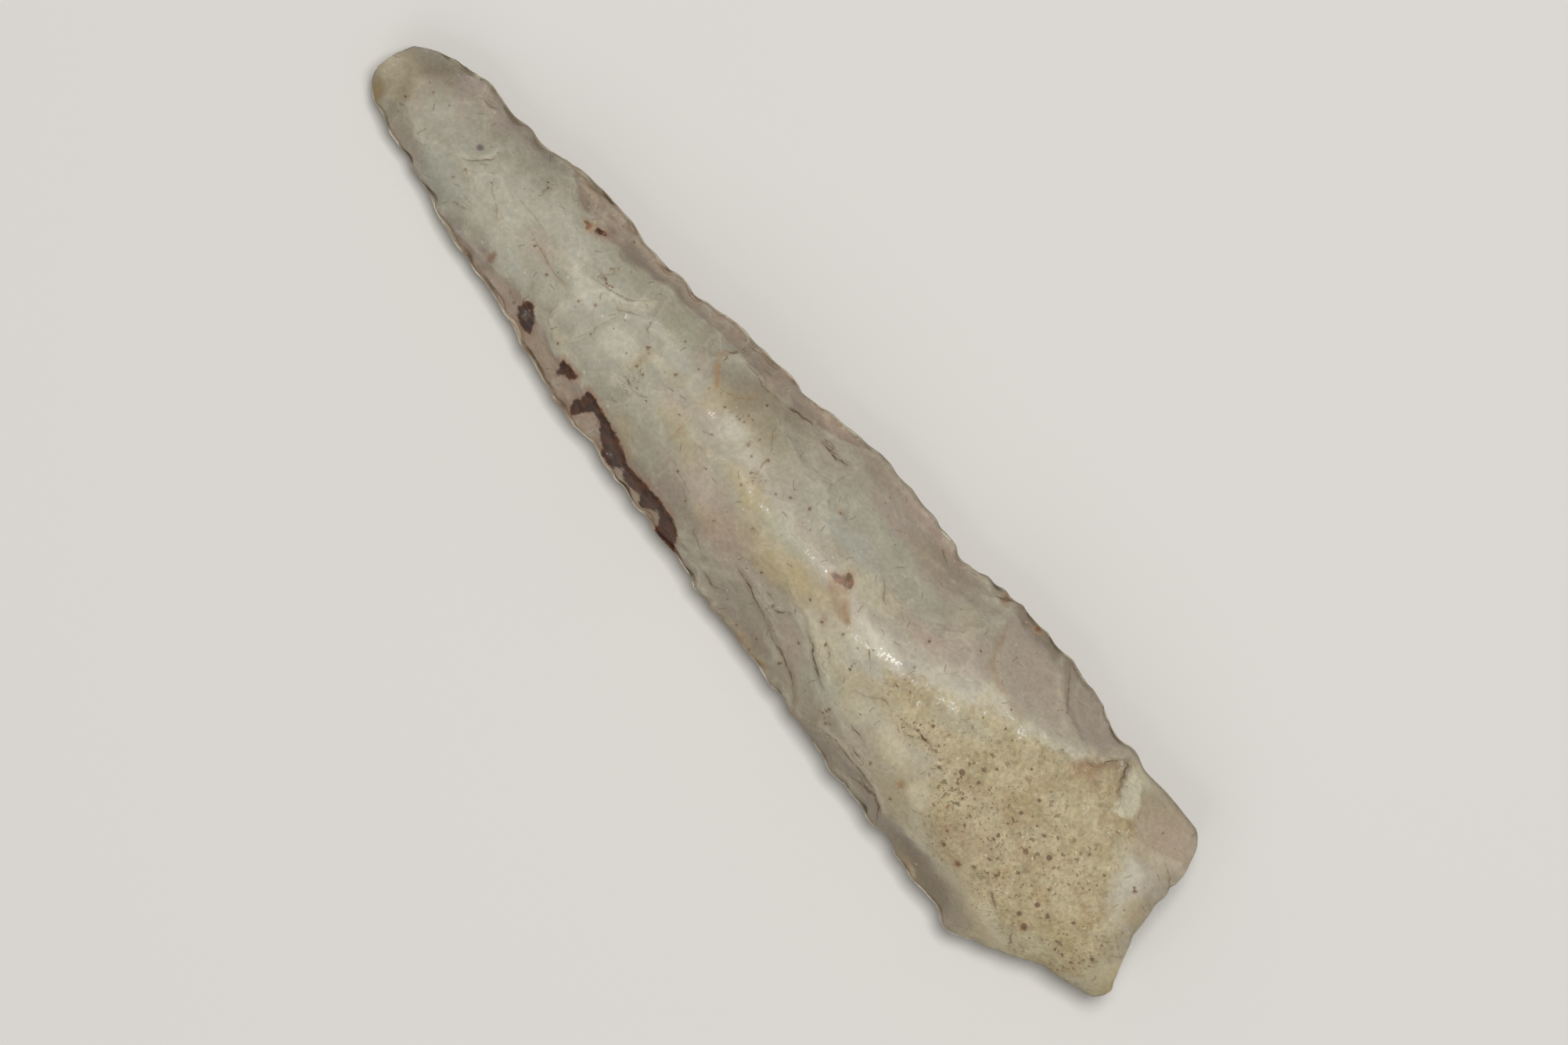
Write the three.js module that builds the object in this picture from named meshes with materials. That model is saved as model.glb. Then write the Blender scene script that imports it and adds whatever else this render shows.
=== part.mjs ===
// A flint drill: one knapped stone, thick at the butt and drawn down to a blunt boring tip.
// Millimetres. +X runs from the butt to the tip, +Z is up through the ridge, and the stone lies on its
// ventral face. The origin is the middle of the box round the stone, at the level it rests on.
import * as THREE from "three";
import { mergeVertices } from "three/addons/utils/BufferGeometryUtils.js";

// Driving sizes.
const stoneLength = 80;
const stoneWidth = 18.5;
const ridgeHeight = 9.8;
const marginHeight = 3.2;
const tipThickness = 1.5;
const bellyDepth = 0.6;
const scarDepth = 1.6;
const retouchDepth = 1.0;
const bellyScarDepth = 0.7;
const buttHollow = 0.3;

// How finely the surface is drawn.
const stationCount = 108;
const stepsAcross = 24;
const buttRows = 5;
const tipRows = 2;

const halfLength = stoneLength / 2;
const halfWidth = stoneWidth / 2;

// The two margins as seen from above: along as a share of the length from the butt, then across as a
// share of half the width. The stone is widest just behind the shoulder of the butt.
const plusMarginShares = [
  [0.0, 0.49],
  [0.008, 0.51],
  [0.031, 0.58],
  [0.063, 0.67],
  [0.078, 0.76],
  [0.094, 0.84],
  [0.113, 0.92],
  [0.129, 1.0],
  [0.142, 0.98],
  [0.155, 0.94],
  [0.183, 0.95],
  [0.206, 0.93],
  [0.225, 0.89],
  [0.25, 0.92],
  [0.266, 0.88],
  [0.294, 0.9],
  [0.325, 0.86],
  [0.363, 0.84],
  [0.4, 0.81],
  [0.45, 0.8],
  [0.488, 0.79],
  [0.513, 0.75],
  [0.563, 0.74],
  [0.613, 0.72],
  [0.638, 0.68],
  [0.663, 0.7],
  [0.694, 0.68],
  [0.715, 0.65],
  [0.725, 0.62],
  [0.738, 0.63],
  [0.753, 0.58],
  [0.788, 0.54],
  [0.844, 0.5],
  [0.863, 0.48],
  [0.888, 0.42],
  [0.913, 0.39],
  [0.938, 0.35],
  [0.953, 0.345],
  [0.975, 0.29],
  [0.988, 0.24],
  [0.996, 0.16],
  [1.0, 0.14],
];
const minusMarginShares = [
  [0.0, -0.9],
  [0.059, -0.9],
  [0.1, -0.9],
  [0.128, -0.88],
  [0.14, -0.92],
  [0.163, -0.91],
  [0.188, -0.96],
  [0.206, -0.99],
  [0.238, -1.0],
  [0.269, -0.99],
  [0.3, -0.98],
  [0.325, -0.95],
  [0.344, -0.9],
  [0.36, -0.86],
  [0.375, -0.89],
  [0.413, -0.91],
  [0.45, -0.91],
  [0.488, -0.89],
  [0.513, -0.84],
  [0.538, -0.81],
  [0.554, -0.76],
  [0.566, -0.79],
  [0.594, -0.75],
  [0.638, -0.72],
  [0.663, -0.66],
  [0.7, -0.62],
  [0.738, -0.58],
  [0.754, -0.61],
  [0.8, -0.6],
  [0.825, -0.57],
  [0.844, -0.5],
  [0.875, -0.48],
  [0.913, -0.46],
  [0.928, -0.475],
  [0.94, -0.44],
  [0.963, -0.4],
  [0.975, -0.34],
  [0.985, -0.26],
  [0.995, -0.18],
  [1.0, -0.17],
];

// The line of the crest as seen from above, which the two sides fall away from.
const ridgeLineShares = [
  [0.0, -0.06],
  [0.1, 0.0],
  [0.25, -0.04],
  [0.33, 0.04],
  [0.45, -0.01],
  [0.6, -0.03],
  [0.8, 0.0],
  [1.0, 0.02],
];

// The butt is an oblique break and the tip is rounded. Each row is a place across the end, from -1 at
// the minus margin to 1 at the plus margin, and how far in from the end of the box it lies.
const buttLineShares = [
  [-1.0, 0.059],
  [-0.89, 0.047],
  [-0.68, 0.039],
  [-0.37, 0.035],
  [-0.14, 0.033],
  [0.25, 0.025],
  [0.65, 0.008],
  [0.8, 0.0],
  [1.0, 0.008],
];
const tipLineShares = [
  [-1.0, 0.005],
  [-0.4, 0.0015],
  [0.1, 0.0],
  [0.6, 0.0],
  [1.0, 0.004],
];
const endReachShare = 0.22;

// Heights along the stone: the crest as a share of the ridge's height, the margins as a share of
// theirs, and the belly as a share of its depth, which is under the resting level where it is positive.
const crestShares = [
  [0.0, 0.62],
  [0.04, 0.73],
  [0.12, 0.87],
  [0.25, 0.945],
  [0.35, 1.0],
  [0.45, 0.965],
  [0.55, 0.885],
  [0.65, 0.8],
  [0.75, 0.7],
  [0.85, 0.585],
  [0.93, 0.47],
  [0.98, 0.36],
  [1.0, 0.3],
];
const marginHeightShares = [
  [0.0, 1.12],
  [0.12, 0.98],
  [0.3, 1.0],
  [0.5, 0.92],
  [0.7, 0.8],
  [0.9, 0.68],
  [1.0, 0.64],
];
const bellyShares = [
  [0.0, -1.9],
  [0.05, -0.6],
  [0.13, 0.8],
  [0.35, 1.0],
  [0.55, 0.85],
  [0.7, -0.25],
  [0.85, -1.2],
  [1.0, -2.0],
];

// How square the shoulders of a cross-section are: 1.7 is a roof with a ridge and 3.4 a flat-topped panel.
const dorsalPowerShares = [
  [0.0, 3.2],
  [0.2, 3.1],
  [0.29, 2.3],
  [0.36, 1.75],
  [0.48, 1.85],
  [0.58, 2.7],
  [0.8, 2.9],
  [0.92, 2.4],
  [1.0, 2.1],
];
const ventralPowerShares = [
  [0.0, 2.6],
  [0.4, 3.0],
  [0.8, 2.5],
  [1.0, 2.1],
];

// Flake scars as shallow bowls. Each row gives the middle along and across, the half length and half
// width as shares of half the stone's width, the turn as a share of a whole turn, and the depth as a
// share of the depth named for its table. Many middles lie past the margin, where the blow was struck.
const dorsalScarShares = [
  [0.218, -1.16, 0.79, 0.79, 0.0, 1.0],
  [0.394, -0.84, 0.88, 0.7, 0.0, 0.9],
  [0.513, -0.92, 0.5, 0.56, 0.0, 0.75],
  [0.098, -0.84, 0.42, 0.3, 0.05, 0.5],
  [0.175, 0.98, 0.6, 0.35, 0.0, 0.9],
  [0.293, 1.04, 0.6, 0.33, 0.0, 0.75],
  [0.45, 1.03, 0.86, 0.57, -0.035, 0.9],
  [0.415, 0.74, 0.84, 0.44, -0.06, 0.8],
  [0.495, 0.92, 0.45, 0.4, 0.0, 0.6],
  [0.681, 0.05, 0.44, 0.26, 0.06, 0.22],
  [0.738, -0.2, 0.36, 0.2, -0.05, 0.24],
  [0.788, 0.12, 0.4, 0.2, -0.03, 0.22],
  [0.92, -0.13, 0.4, 0.3, 0.04, 0.42],
  [0.985, 0.08, 0.2, 0.18, 0.1, 0.4],
];
const dorsalRetouchShares = [
  [0.185, -1.07, 0.43, 0.42, 0.0, 0.9],
  [0.331, -0.98, 0.34, 0.22, 0.06, 0.6],
  [0.4, -0.97, 0.46, 0.32, 0.0, 0.5],
  [0.48, -0.98, 0.36, 0.34, 0.0, 0.8],
  [0.556, -0.92, 0.29, 0.29, 0.0, 1.0],
  [0.598, -0.84, 0.28, 0.29, 0.0, 1.0],
  [0.64, -0.79, 0.25, 0.27, 0.0, 1.0],
  [0.679, -0.74, 0.25, 0.27, 0.0, 1.0],
  [0.716, -0.69, 0.24, 0.27, 0.0, 1.0],
  [0.753, -0.67, 0.23, 0.26, 0.0, 1.0],
  [0.785, -0.66, 0.24, 0.31, 0.0, 1.0],
  [0.82, -0.63, 0.23, 0.29, 0.0, 0.9],
  [0.856, -0.58, 0.25, 0.32, 0.0, 0.9],
  [0.894, -0.55, 0.23, 0.3, 0.0, 0.8],
  [0.931, -0.52, 0.22, 0.25, 0.0, 0.7],
  [0.965, -0.45, 0.2, 0.2, 0.0, 0.6],
  [0.1, 0.94, 0.3, 0.24, 0.08, 0.7],
  [0.265, 1.0, 0.3, 0.22, 0.0, 0.6],
  [0.343, 0.98, 0.3, 0.24, 0.0, 0.5],
  [0.55, 0.84, 0.29, 0.25, 0.0, 1.0],
  [0.594, 0.82, 0.28, 0.25, 0.0, 1.0],
  [0.635, 0.78, 0.27, 0.29, 0.0, 1.0],
  [0.675, 0.74, 0.27, 0.31, 0.0, 1.0],
  [0.715, 0.72, 0.25, 0.28, 0.0, 1.0],
  [0.75, 0.67, 0.24, 0.31, 0.0, 1.0],
  [0.788, 0.63, 0.25, 0.3, 0.0, 1.0],
  [0.825, 0.59, 0.24, 0.28, 0.0, 0.9],
  [0.863, 0.54, 0.24, 0.28, 0.0, 0.9],
  [0.9, 0.48, 0.24, 0.24, 0.0, 0.8],
  [0.938, 0.42, 0.22, 0.22, 0.0, 0.7],
  [0.972, 0.34, 0.2, 0.18, 0.0, 0.6],
];
const ventralScarShares = [
  [0.06, 0.1, 0.5, 0.42, 0.12, 0.6],
  [0.12, -0.95, 0.6, 0.42, 0.0, 1.0],
  [0.15, 1.0, 0.55, 0.42, 0.0, 1.0],
  [0.24, -1.02, 0.55, 0.36, 0.0, 0.8],
  [0.27, 0.98, 0.6, 0.38, 0.0, 0.9],
  [0.37, -0.95, 0.6, 0.36, 0.0, 1.0],
  [0.4, 0.88, 0.56, 0.32, 0.0, 0.8],
  [0.5, -0.86, 0.52, 0.34, 0.0, 1.0],
  [0.53, 0.84, 0.55, 0.36, 0.0, 1.0],
  [0.62, -0.74, 0.46, 0.3, 0.0, 0.9],
  [0.65, 0.74, 0.5, 0.32, 0.0, 0.9],
  [0.73, -0.64, 0.44, 0.3, 0.0, 0.9],
  [0.76, 0.62, 0.46, 0.3, 0.0, 0.9],
  [0.84, -0.54, 0.42, 0.28, 0.0, 0.8],
  [0.87, 0.5, 0.42, 0.26, 0.0, 0.8],
  [0.94, -0.42, 0.36, 0.22, 0.0, 0.7],
  [0.96, 0.34, 0.32, 0.2, 0.0, 0.7],
];
const deepestCarveShare = 0.75;
const crowdingShare = 0.35;

// Reads a table of [place, value] rows at a place, along a smooth curve through its points.
function curveAt(table, place) {
  const last = table.length - 1;
  if (place <= table[0][0]) return table[0][1];
  if (place >= table[last][0]) return table[last][1];
  let i = 0;
  while (table[i + 1][0] < place) i++;
  const slopeAt = (k) => {
    const before = table[Math.max(k - 1, 0)];
    const after = table[Math.min(k + 1, last)];
    return (after[1] - before[1]) / (after[0] - before[0]);
  };
  const [[x0, y0], [x1, y1]] = [table[i], table[i + 1]];
  const gap = x1 - x0;
  const s = (place - x0) / gap;
  const eased = s * s * (3 - 2 * s);
  const pull = s * (1 - s) * gap;
  return y0 + (y1 - y0) * eased + pull * ((1 - s) * slopeAt(i) - s * slopeAt(i + 1));
}

// The deepest bowl of a table at a point of the plan, as a share of the depth named for the table.
function bowlAt(scarShares, x, y) {
  let deepest = 0;
  for (const [along, across, run, span, turn, depth] of scarShares) {
    const dx = x + halfLength - along * stoneLength;
    const dy = y - across * halfWidth;
    const angle = turn * 2 * Math.PI;
    const u = (dx * Math.cos(angle) + dy * Math.sin(angle)) / (run * halfWidth);
    const v = (dy * Math.cos(angle) - dx * Math.sin(angle)) / (span * halfWidth);
    deepest = Math.max(deepest, depth * (1 - u * u - v * v));
  }
  return deepest;
}

// Takes a bowl's depth off a height, and never more than a share of it, so that the margin stays sharp.
function carved(height, depth) {
  const most = height * deepestCarveShare;
  return most > 0 ? height - most * (1 - Math.exp(-depth / most)) : height;
}

// The place of a point of the skin in plan. u runs from the butt to the tip and t across, from -1 at
// the minus margin to 1 at the plus margin. The lines across bend near the ends to follow them.
function planPoint(u, t) {
  const nearButt = Math.max(0, 1 - u / endReachShare);
  const nearTip = Math.max(0, 1 - (1 - u) / endReachShare);
  const alongAt = (s) => u + nearButt * curveAt(buttLineShares, s) - nearTip * curveAt(tipLineShares, s);
  const low = curveAt(minusMarginShares, alongAt(-1));
  const high = curveAt(plusMarginShares, alongAt(1));
  return {
    x: alongAt(t) * stoneLength - halfLength,
    y: (low + ((t + 1) / 2) * (high - low)) * halfWidth,
  };
}

// How far a point lies from the crest, from 0 on it to 1 at the margin on its own side.
function fromCrest(x, y) {
  const along = (x + halfLength) / stoneLength;
  const crestLine = curveAt(ridgeLineShares, along);
  const margin = curveAt(y > crestLine * halfWidth ? plusMarginShares : minusMarginShares, along);
  return Math.min(1, (y / halfWidth - crestLine) / (margin - crestLine));
}

// The tip keeps some thickness at its end, shared between the two faces.
function tipRise(along) {
  return (tipThickness / 2) * Math.max(0, 1 - (1 - along) / endReachShare);
}

function dorsalHeight(x, y) {
  const along = (x + halfLength) / stoneLength;
  const margin = curveAt(marginHeightShares, along) * marginHeight;
  const crest = curveAt(crestShares, along) * ridgeHeight + tipRise(along);
  const roof = 1 - fromCrest(x, y) ** curveAt(dorsalPowerShares, along);
  const flaked = carved((crest - margin) * roof, bowlAt(dorsalScarShares, x, y) * scarDepth);
  return margin + carved(flaked, bowlAt(dorsalRetouchShares, x, y) * retouchDepth);
}

function ventralHeight(x, y) {
  const along = (x + halfLength) / stoneLength;
  const margin = curveAt(marginHeightShares, along) * marginHeight;
  const belly = -curveAt(bellyShares, along) * bellyDepth - tipRise(along);
  const hull = 1 - fromCrest(x, y) ** curveAt(ventralPowerShares, along);
  const flaked = carved((margin - belly) * hull, bowlAt(ventralScarShares, x, y) * bellyScarDepth);
  return Math.max(0, margin - flaked);
}

// Lines across the skin lie closer together towards the steep margins.
function spreadAcross(s) {
  const even = 2 * s - 1;
  return even * (1 - crowdingShare) + Math.sin((even * Math.PI) / 2) * crowdingShare;
}

function skinPoint(u, s, heightAt) {
  const { x, y } = planPoint(u, spreadAcross(s));
  return new THREE.Vector3(x, y, heightAt(x, y));
}

// A point of the wall that closes an end, between the two faces. It is hollowed a little at mid height.
function endPoint(u, s, rise, hollow) {
  const low = skinPoint(u, s, ventralHeight);
  const high = skinPoint(u, s, dorsalHeight);
  const point = low.clone().lerp(high, rise);
  point.x += 4 * rise * (1 - rise) * hollow * ((high.z - low.z) / ridgeHeight);
  return point;
}

// Adds a patch of triangles, columns by rows, whose corners pointAt gives for shares from 0 to 1.
function addSheet(positions, columns, rows, pointAt) {
  for (let column = 0; column < columns; column++) {
    for (let row = 0; row < rows; row++) {
      const a = pointAt(column / columns, row / rows);
      const b = pointAt((column + 1) / columns, row / rows);
      const c = pointAt((column + 1) / columns, (row + 1) / rows);
      const d = pointAt(column / columns, (row + 1) / rows);
      for (const corner of [a, b, c, a, c, d]) positions.push(corner.x, corner.y, corner.z);
    }
  }
}

// Joins the patches into one closed body and leaves out the triangles that have no area.
function closedBody(positions) {
  const loose = new THREE.BufferGeometry();
  loose.setAttribute("position", new THREE.Float32BufferAttribute(positions, 3));
  const body = mergeVertices(loose);
  const index = body.getIndex().array;
  const kept = [];
  for (let i = 0; i < index.length; i += 3) {
    const [a, b, c] = [index[i], index[i + 1], index[i + 2]];
    if (a !== b && b !== c && c !== a) kept.push(a, b, c);
  }
  body.setIndex(kept);
  body.computeVertexNormals();
  return body;
}

// The stone itself: patinated flint, greyish cream and slightly glossy.
function makeFlint() {
  const positions = [];
  addSheet(positions, stationCount, stepsAcross, (u, s) => skinPoint(u, s, dorsalHeight));
  addSheet(positions, stationCount, stepsAcross, (u, s) => skinPoint(u, 1 - s, ventralHeight));
  addSheet(positions, stepsAcross, buttRows, (s, rise) => endPoint(0, 1 - s, rise, buttHollow));
  addSheet(positions, stepsAcross, tipRows, (s, rise) => endPoint(1, s, rise, 0));
  const flint = new THREE.Mesh(
    closedBody(positions),
    new THREE.MeshStandardMaterial({ color: "#b3a68c", roughness: 0.5, metalness: 0 }),
  );
  flint.name = "flint_drill";
  return flint;
}

const drill = new THREE.Group();
drill.add(makeFlint());

export default drill;
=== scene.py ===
import math

import bpy
import numpy as np
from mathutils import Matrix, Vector, noise


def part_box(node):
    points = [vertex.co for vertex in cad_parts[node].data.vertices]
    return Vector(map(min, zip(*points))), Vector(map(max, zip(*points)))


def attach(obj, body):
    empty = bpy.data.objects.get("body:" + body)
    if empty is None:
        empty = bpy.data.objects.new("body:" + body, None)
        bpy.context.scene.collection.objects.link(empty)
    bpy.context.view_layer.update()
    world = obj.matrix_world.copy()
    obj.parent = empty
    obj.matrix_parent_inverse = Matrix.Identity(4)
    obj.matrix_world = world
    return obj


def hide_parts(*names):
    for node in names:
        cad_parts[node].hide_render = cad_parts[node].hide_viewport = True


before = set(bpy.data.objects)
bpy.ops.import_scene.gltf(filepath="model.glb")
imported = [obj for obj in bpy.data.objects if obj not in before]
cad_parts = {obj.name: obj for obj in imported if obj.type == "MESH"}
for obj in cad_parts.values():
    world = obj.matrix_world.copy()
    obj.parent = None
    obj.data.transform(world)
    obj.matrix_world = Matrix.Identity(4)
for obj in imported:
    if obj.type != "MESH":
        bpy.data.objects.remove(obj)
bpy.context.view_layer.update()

# The stone: one piece of flint, struck from a nodule and worked by pressure along both margins. Its body
# comes from the frame. A copy is smoothed to a fine mesh, and then flaked as the knapper did it: the rims
# of the big scars first, their ripples next, and the retouch and the nibbled edge last.

stone_low, stone_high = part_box("flint_drill")
mm = 0.001
axis_shift = 0.2  # mm from the long axis, which places are measured from, to the middle of the box
butt = np.array([stone_low.x / mm, (stone_low.y + stone_high.y) / 2 / mm - axis_shift, 0.0])

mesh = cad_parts["flint_drill"].data.copy()
mesh.name = "flint"
stone = bpy.data.objects.new("flint", mesh)
bpy.context.scene.collection.objects.link(stone)
bpy.ops.object.select_all(action="DESELECT")
bpy.context.view_layer.objects.active = stone
stone.select_set(True)
mesh.materials.clear()
bpy.ops.object.mode_set(mode="EDIT")
bpy.ops.mesh.select_all(action="SELECT")
bpy.ops.mesh.remove_doubles(threshold=0.001 * mm)
bpy.ops.mesh.tris_convert_to_quads(face_threshold=math.radians(60), shape_threshold=math.radians(60))
bpy.ops.mesh.select_all(action="DESELECT")
bpy.ops.mesh.select_mode(type="EDGE")
bpy.ops.mesh.edges_select_sharp(sharpness=math.radians(48))
bpy.ops.transform.edge_crease(value=1.0)
bpy.ops.object.mode_set(mode="OBJECT")
if mesh.has_custom_normals:
    bpy.ops.mesh.customdata_custom_splitnormals_clear()
fine = stone.modifiers.new("fine skin", "SUBSURF")
fine.levels = fine.render_levels = 2
bpy.ops.object.modifier_apply(modifier="fine skin")
mesh = stone.data
bpy.ops.object.shade_smooth()

count = len(mesh.vertices)
edges = np.empty(len(mesh.edges) * 2, np.int32)
mesh.edges.foreach_get("vertices", edges)
edges = edges.reshape(-1, 2)
valence = np.bincount(edges.ravel(), minlength=count).reshape(-1, 1)


def read(what):
    """A vector for each point of the mesh."""
    found = np.empty(count * 3)
    mesh.vertices.foreach_get(what, found)
    return found.reshape(-1, 3)


def averaged(values, times):
    """Values spread to neighbouring points, which smooths them."""
    values = values.reshape(count, -1)
    for _ in range(times):
        total = np.zeros_like(values)
        np.add.at(total, edges[:, 0], values[edges[:, 1]])
        np.add.at(total, edges[:, 1], values[edges[:, 0]])
        values = total / valence
    return values


def cloud(places, grain, octaves=3, seed=0.0):
    """Noise from about -1 to 1 whose lumps are grain millimetres across."""
    shift = Vector((seed, 3.1 * seed, -seed))
    return np.array([noise.fractal(Vector(p) / grain + shift, 1.0, 2.0, octaves) for p in places])


def struck(rows, x, y, flat=1.0):
    """Overlapping flake scars. A row is along, across, half length, half width, turn in degrees and depth.
    Its floor is a shallow bowl, which is flatter, and steeper at the rim, where flat is above 1. Gives the
    deepest floor at each point, and how far the point lies from the crease where two scars meet, with a
    sign that changes across the crease."""
    deepest, beaten = np.zeros((4, len(x))), np.zeros((4, len(x)))
    beaten[0] = -np.inf
    for number, (along, across, run, span, turn, depth) in enumerate(rows, 1):
        dx, dy = x - along, y - across
        c, s = math.cos(math.radians(turn)), math.sin(math.radians(turn))
        u, v = (dx * c + dy * s) / run, (dy * c - dx * s) / span
        q = u * u + v * v
        slope = -2 * depth * flat * q ** (flat - 1)
        floor = np.array([
            depth * (1 - q**flat),
            np.full(len(x), number),
            slope * (u * c / run - v * s / span),
            slope * (u * s / run + v * c / span),
        ])
        wins = floor[0] > deepest[0]
        second = ~wins & (floor[0] > beaten[0])
        beaten = np.where(wins, deepest, np.where(second, floor, beaten))
        deepest = np.where(wins, floor, deepest)
    steepness = np.hypot(deepest[2] - beaten[2], deepest[3] - beaten[3]) + 1e-4
    away = (deepest[0] - beaten[0]) / steepness
    return deepest[0], np.where(deepest[1] % 2 == 0, away, -away)


def bowls(rows, x, y):
    """Only the floors of some flake scars."""
    return struck(rows, x, y)[0]


# Places are in millimetres: along from the butt, across from the long axis and up. Each point's share of
# the upper face, from 0 to 1, is upper, and the steep sides have a share of both faces.
places = read("co") / mm - butt
x, y, z = places.T
normals = read("normal")
sharing = 2.5  # how narrow the strip is that both faces share
facing_up = averaged(normals[:, 2], 2)[:, 0] * sharing
upper = np.clip(facing_up + 0.5, 0, 1)
lower = 1 - upper

# The plan outline of the stone at each half millimetre, for the retouch that follows it.
stations = np.arange(0.0, 80.5, 0.5)
half_slice = 0.45
near = [np.abs(x - station) < half_slice for station in stations]
plus_margin = np.array([y[n].max() for n in near])
minus_margin = np.array([y[n].min() for n in near])

# The big scars on the upper face: the same scars as the body's, cut once more to sharpen their rims.
big_scars = [
    (17.4, -10.5, 7.3, 7.3, 0, 0.3), (14.8, -9.7, 3.9, 3.9, 0, 0.5), (32, -7.6, 8, 6.4, 0, 0.16),
    (41, -8.3, 4.6, 5.2, 0, 0.14), (7, -8.2, 4.4, 3.6, 18, 0.04), (14, 9.4, 5.6, 3.2, 0, 0.2),
    (33.2, 7, 7.8, 4.1, -21, 0.16), (23.4, 9.8, 5.6, 3, 0, 0.2), (36, 9.7, 8, 5.3, -12, 0.26),
    (24.4, 9.4, 4.4, 2.2, 0, 0.26), (39.6, 8.7, 4.2, 3.7, 0, 0.2), (21, 9.5, 2.2, 1.9, 0, 0.3),
    (26.6, -9, 3, 2, 20, 0.26), (33, -8.9, 4.2, 2.8, 0, 0.24),
]
# Shallow scars of thinning flakes along the crest, seen as low facets with thin arcs between them.
low_scars = [
    (54.5, 0.7, 4.1, 2.4, 21, 0.1), (57.8, 0.9, 2.6, 1.5, 80, 0.09), (59, -2.5, 3.6, 1.9, -18, 0.12),
    (63, 1.9, 3.7, 1.3, -10, 0.09), (65.8, -1, 4, 1.2, -4, 0.08), (73.6, -0.7, 3.7, 2.6, 14, 0.14),
    (71.2, 2.4, 2.8, 1.5, -20, 0.09), (67.5, 2.4, 2, 1.3, -20, 0.08), (69, -2.4, 2.4, 1.4, 30, 0.07),
    (48, -2.8, 3, 2, 30, 0.09), (45.9, -0.9, 2.4, 1.5, 20, 0.08), (47.5, 2.4, 4.4, 2, -12, 0.1),
    (44.5, 4.2, 3.6, 1.4, -30, 0.09), (51.6, -1.2, 2.6, 1.6, 50, 0.07), (53.4, 2.9, 1.6, 1.2, 20, 0.09),
    (42, 2.2, 3.4, 1.8, -30, 0.07), (41.2, -2.6, 3.2, 2, 15, 0.08), (25, 3.9, 3.8, 1.6, -14, 0.1),
    (29.8, 2.6, 3.2, 1.1, -24, 0.08), (36.6, 2.9, 3, 1.3, -10, 0.07), (22.2, -1.8, 2.2, 1, 24, 0.07),
    (29.2, -1.3, 3, 1.2, -20, 0.06), (35, -1.8, 2.6, 1.3, 8, 0.06), (5, -1.8, 3, 2.2, -50, 0.08),
    (8.8, -5.6, 2, 1.2, -30, 0.12),
]
draw = np.random.default_rng(7)
crest = ([0, 21.5, 26.5, 30.5, 36, 44, 60, 80], [-1, -0.6, 0.3, 0.8, 0.2, -0.3, -0.6, 0])
for along in np.arange(21.0, 77.0, 0.8):
    low_scars.append((
        along,
        np.interp(along, *crest) + draw.uniform(-4.2, 4.2) * np.interp(along, (20, 80), (1.2, 0.6)),
        draw.uniform(0.7, 2.0),
        draw.uniform(0.5, 1.2),
        draw.uniform(-90, 90),
        draw.uniform(0.02, 0.055),
    ))

# Retouch: overlapping small scars pushed off both margins, deeper and longer where the stone narrows to
# the drill bit, and a second row of tiny nibbles that scallops the edge itself.
retouch_ends = 79.0
bit_starts = 42.0


def retouch(margin, side, first, step, run, span, depth, set_back):
    """Rows for small scars along one margin. Each size is a lowest and a highest value in millimetres."""
    rows = []
    along = first
    while along < retouch_ends:
        rows.append((
            along,
            np.interp(along, stations, margin) + side * draw.uniform(*set_back),
            draw.uniform(*run),
            draw.uniform(*span),
            draw.uniform(-14, 14),
            draw.uniform(*depth),
        ))
        along += draw.uniform(*step)
    return rows


pushed, under, nibbled = [], [], []
for margin, side, start in ((plus_margin, 1, 12.0), (minus_margin, -1, 13.0)):
    pushed += retouch(margin, side, bit_starts, (0.9, 2.8), (0.8, 1.9), (1.3, 2.6), (0.12, 0.3), (0.0, 0.5))
    pushed += retouch(margin, side, start, (0.9, 2.8), (0.6, 1.6), (0.6, 1.5), (0.08, 0.24), (0.0, 0.4))
    under += retouch(margin, side, start, (1.6, 2.8), (1.0, 1.8), (1.0, 2.2), (0.1, 0.22), (0.0, 0.5))
    nibbled += retouch(margin, side, start, (0.8, 3.0), (0.5, 1.3), (0.3, 0.6), (0.1, 0.34), (-0.1, 0.1))

# Single chips along the broken edge of the butt.
nibbled += [
    (1.9, -0.3, 0.4, 0.6, 0, 0.2), (2.6, -2.6, 0.4, 0.7, 0, 0.15), (2.7, -4.1, 0.35, 0.35, 0, 0.35),
    (3.2, -6.2, 0.5, 0.8, 0, 0.12), (0.3, 2.9, 0.4, 0.5, 0, 0.15), (1.6, 5.1, 0.8, 0.4, 0, 0.1),
    (4.2, 6.1, 1.2, 0.4, 0, 0.14), (7, 7.6, 0.8, 0.5, 30, 0.15), (8.6, 8.4, 0.5, 0.4, 30, 0.2),
]

# Outlines are bent a little by noise, as the rims of real scars are.
most_bent = 0.3
warp_x = cloud(places, 2.2, 3, 1.0) * most_bent
warp_y = cloud(places, 2.2, 3, 5.0) * most_bent
bent_x, bent_y = x + warp_x, y + warp_y
big_floor, big_crease = struck(big_scars, x + warp_x * 0.6, y + warp_y * 0.6, flat=2.2)
low_floor, low_crease = struck(low_scars, bent_x, bent_y)
pushed_floor, pushed_crease = struck(pushed, x + warp_x * 0.4, y + warp_y * 0.4)
sunk = big_floor + low_floor + pushed_floor
relief = -bowls(nibbled, x, y)

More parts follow.
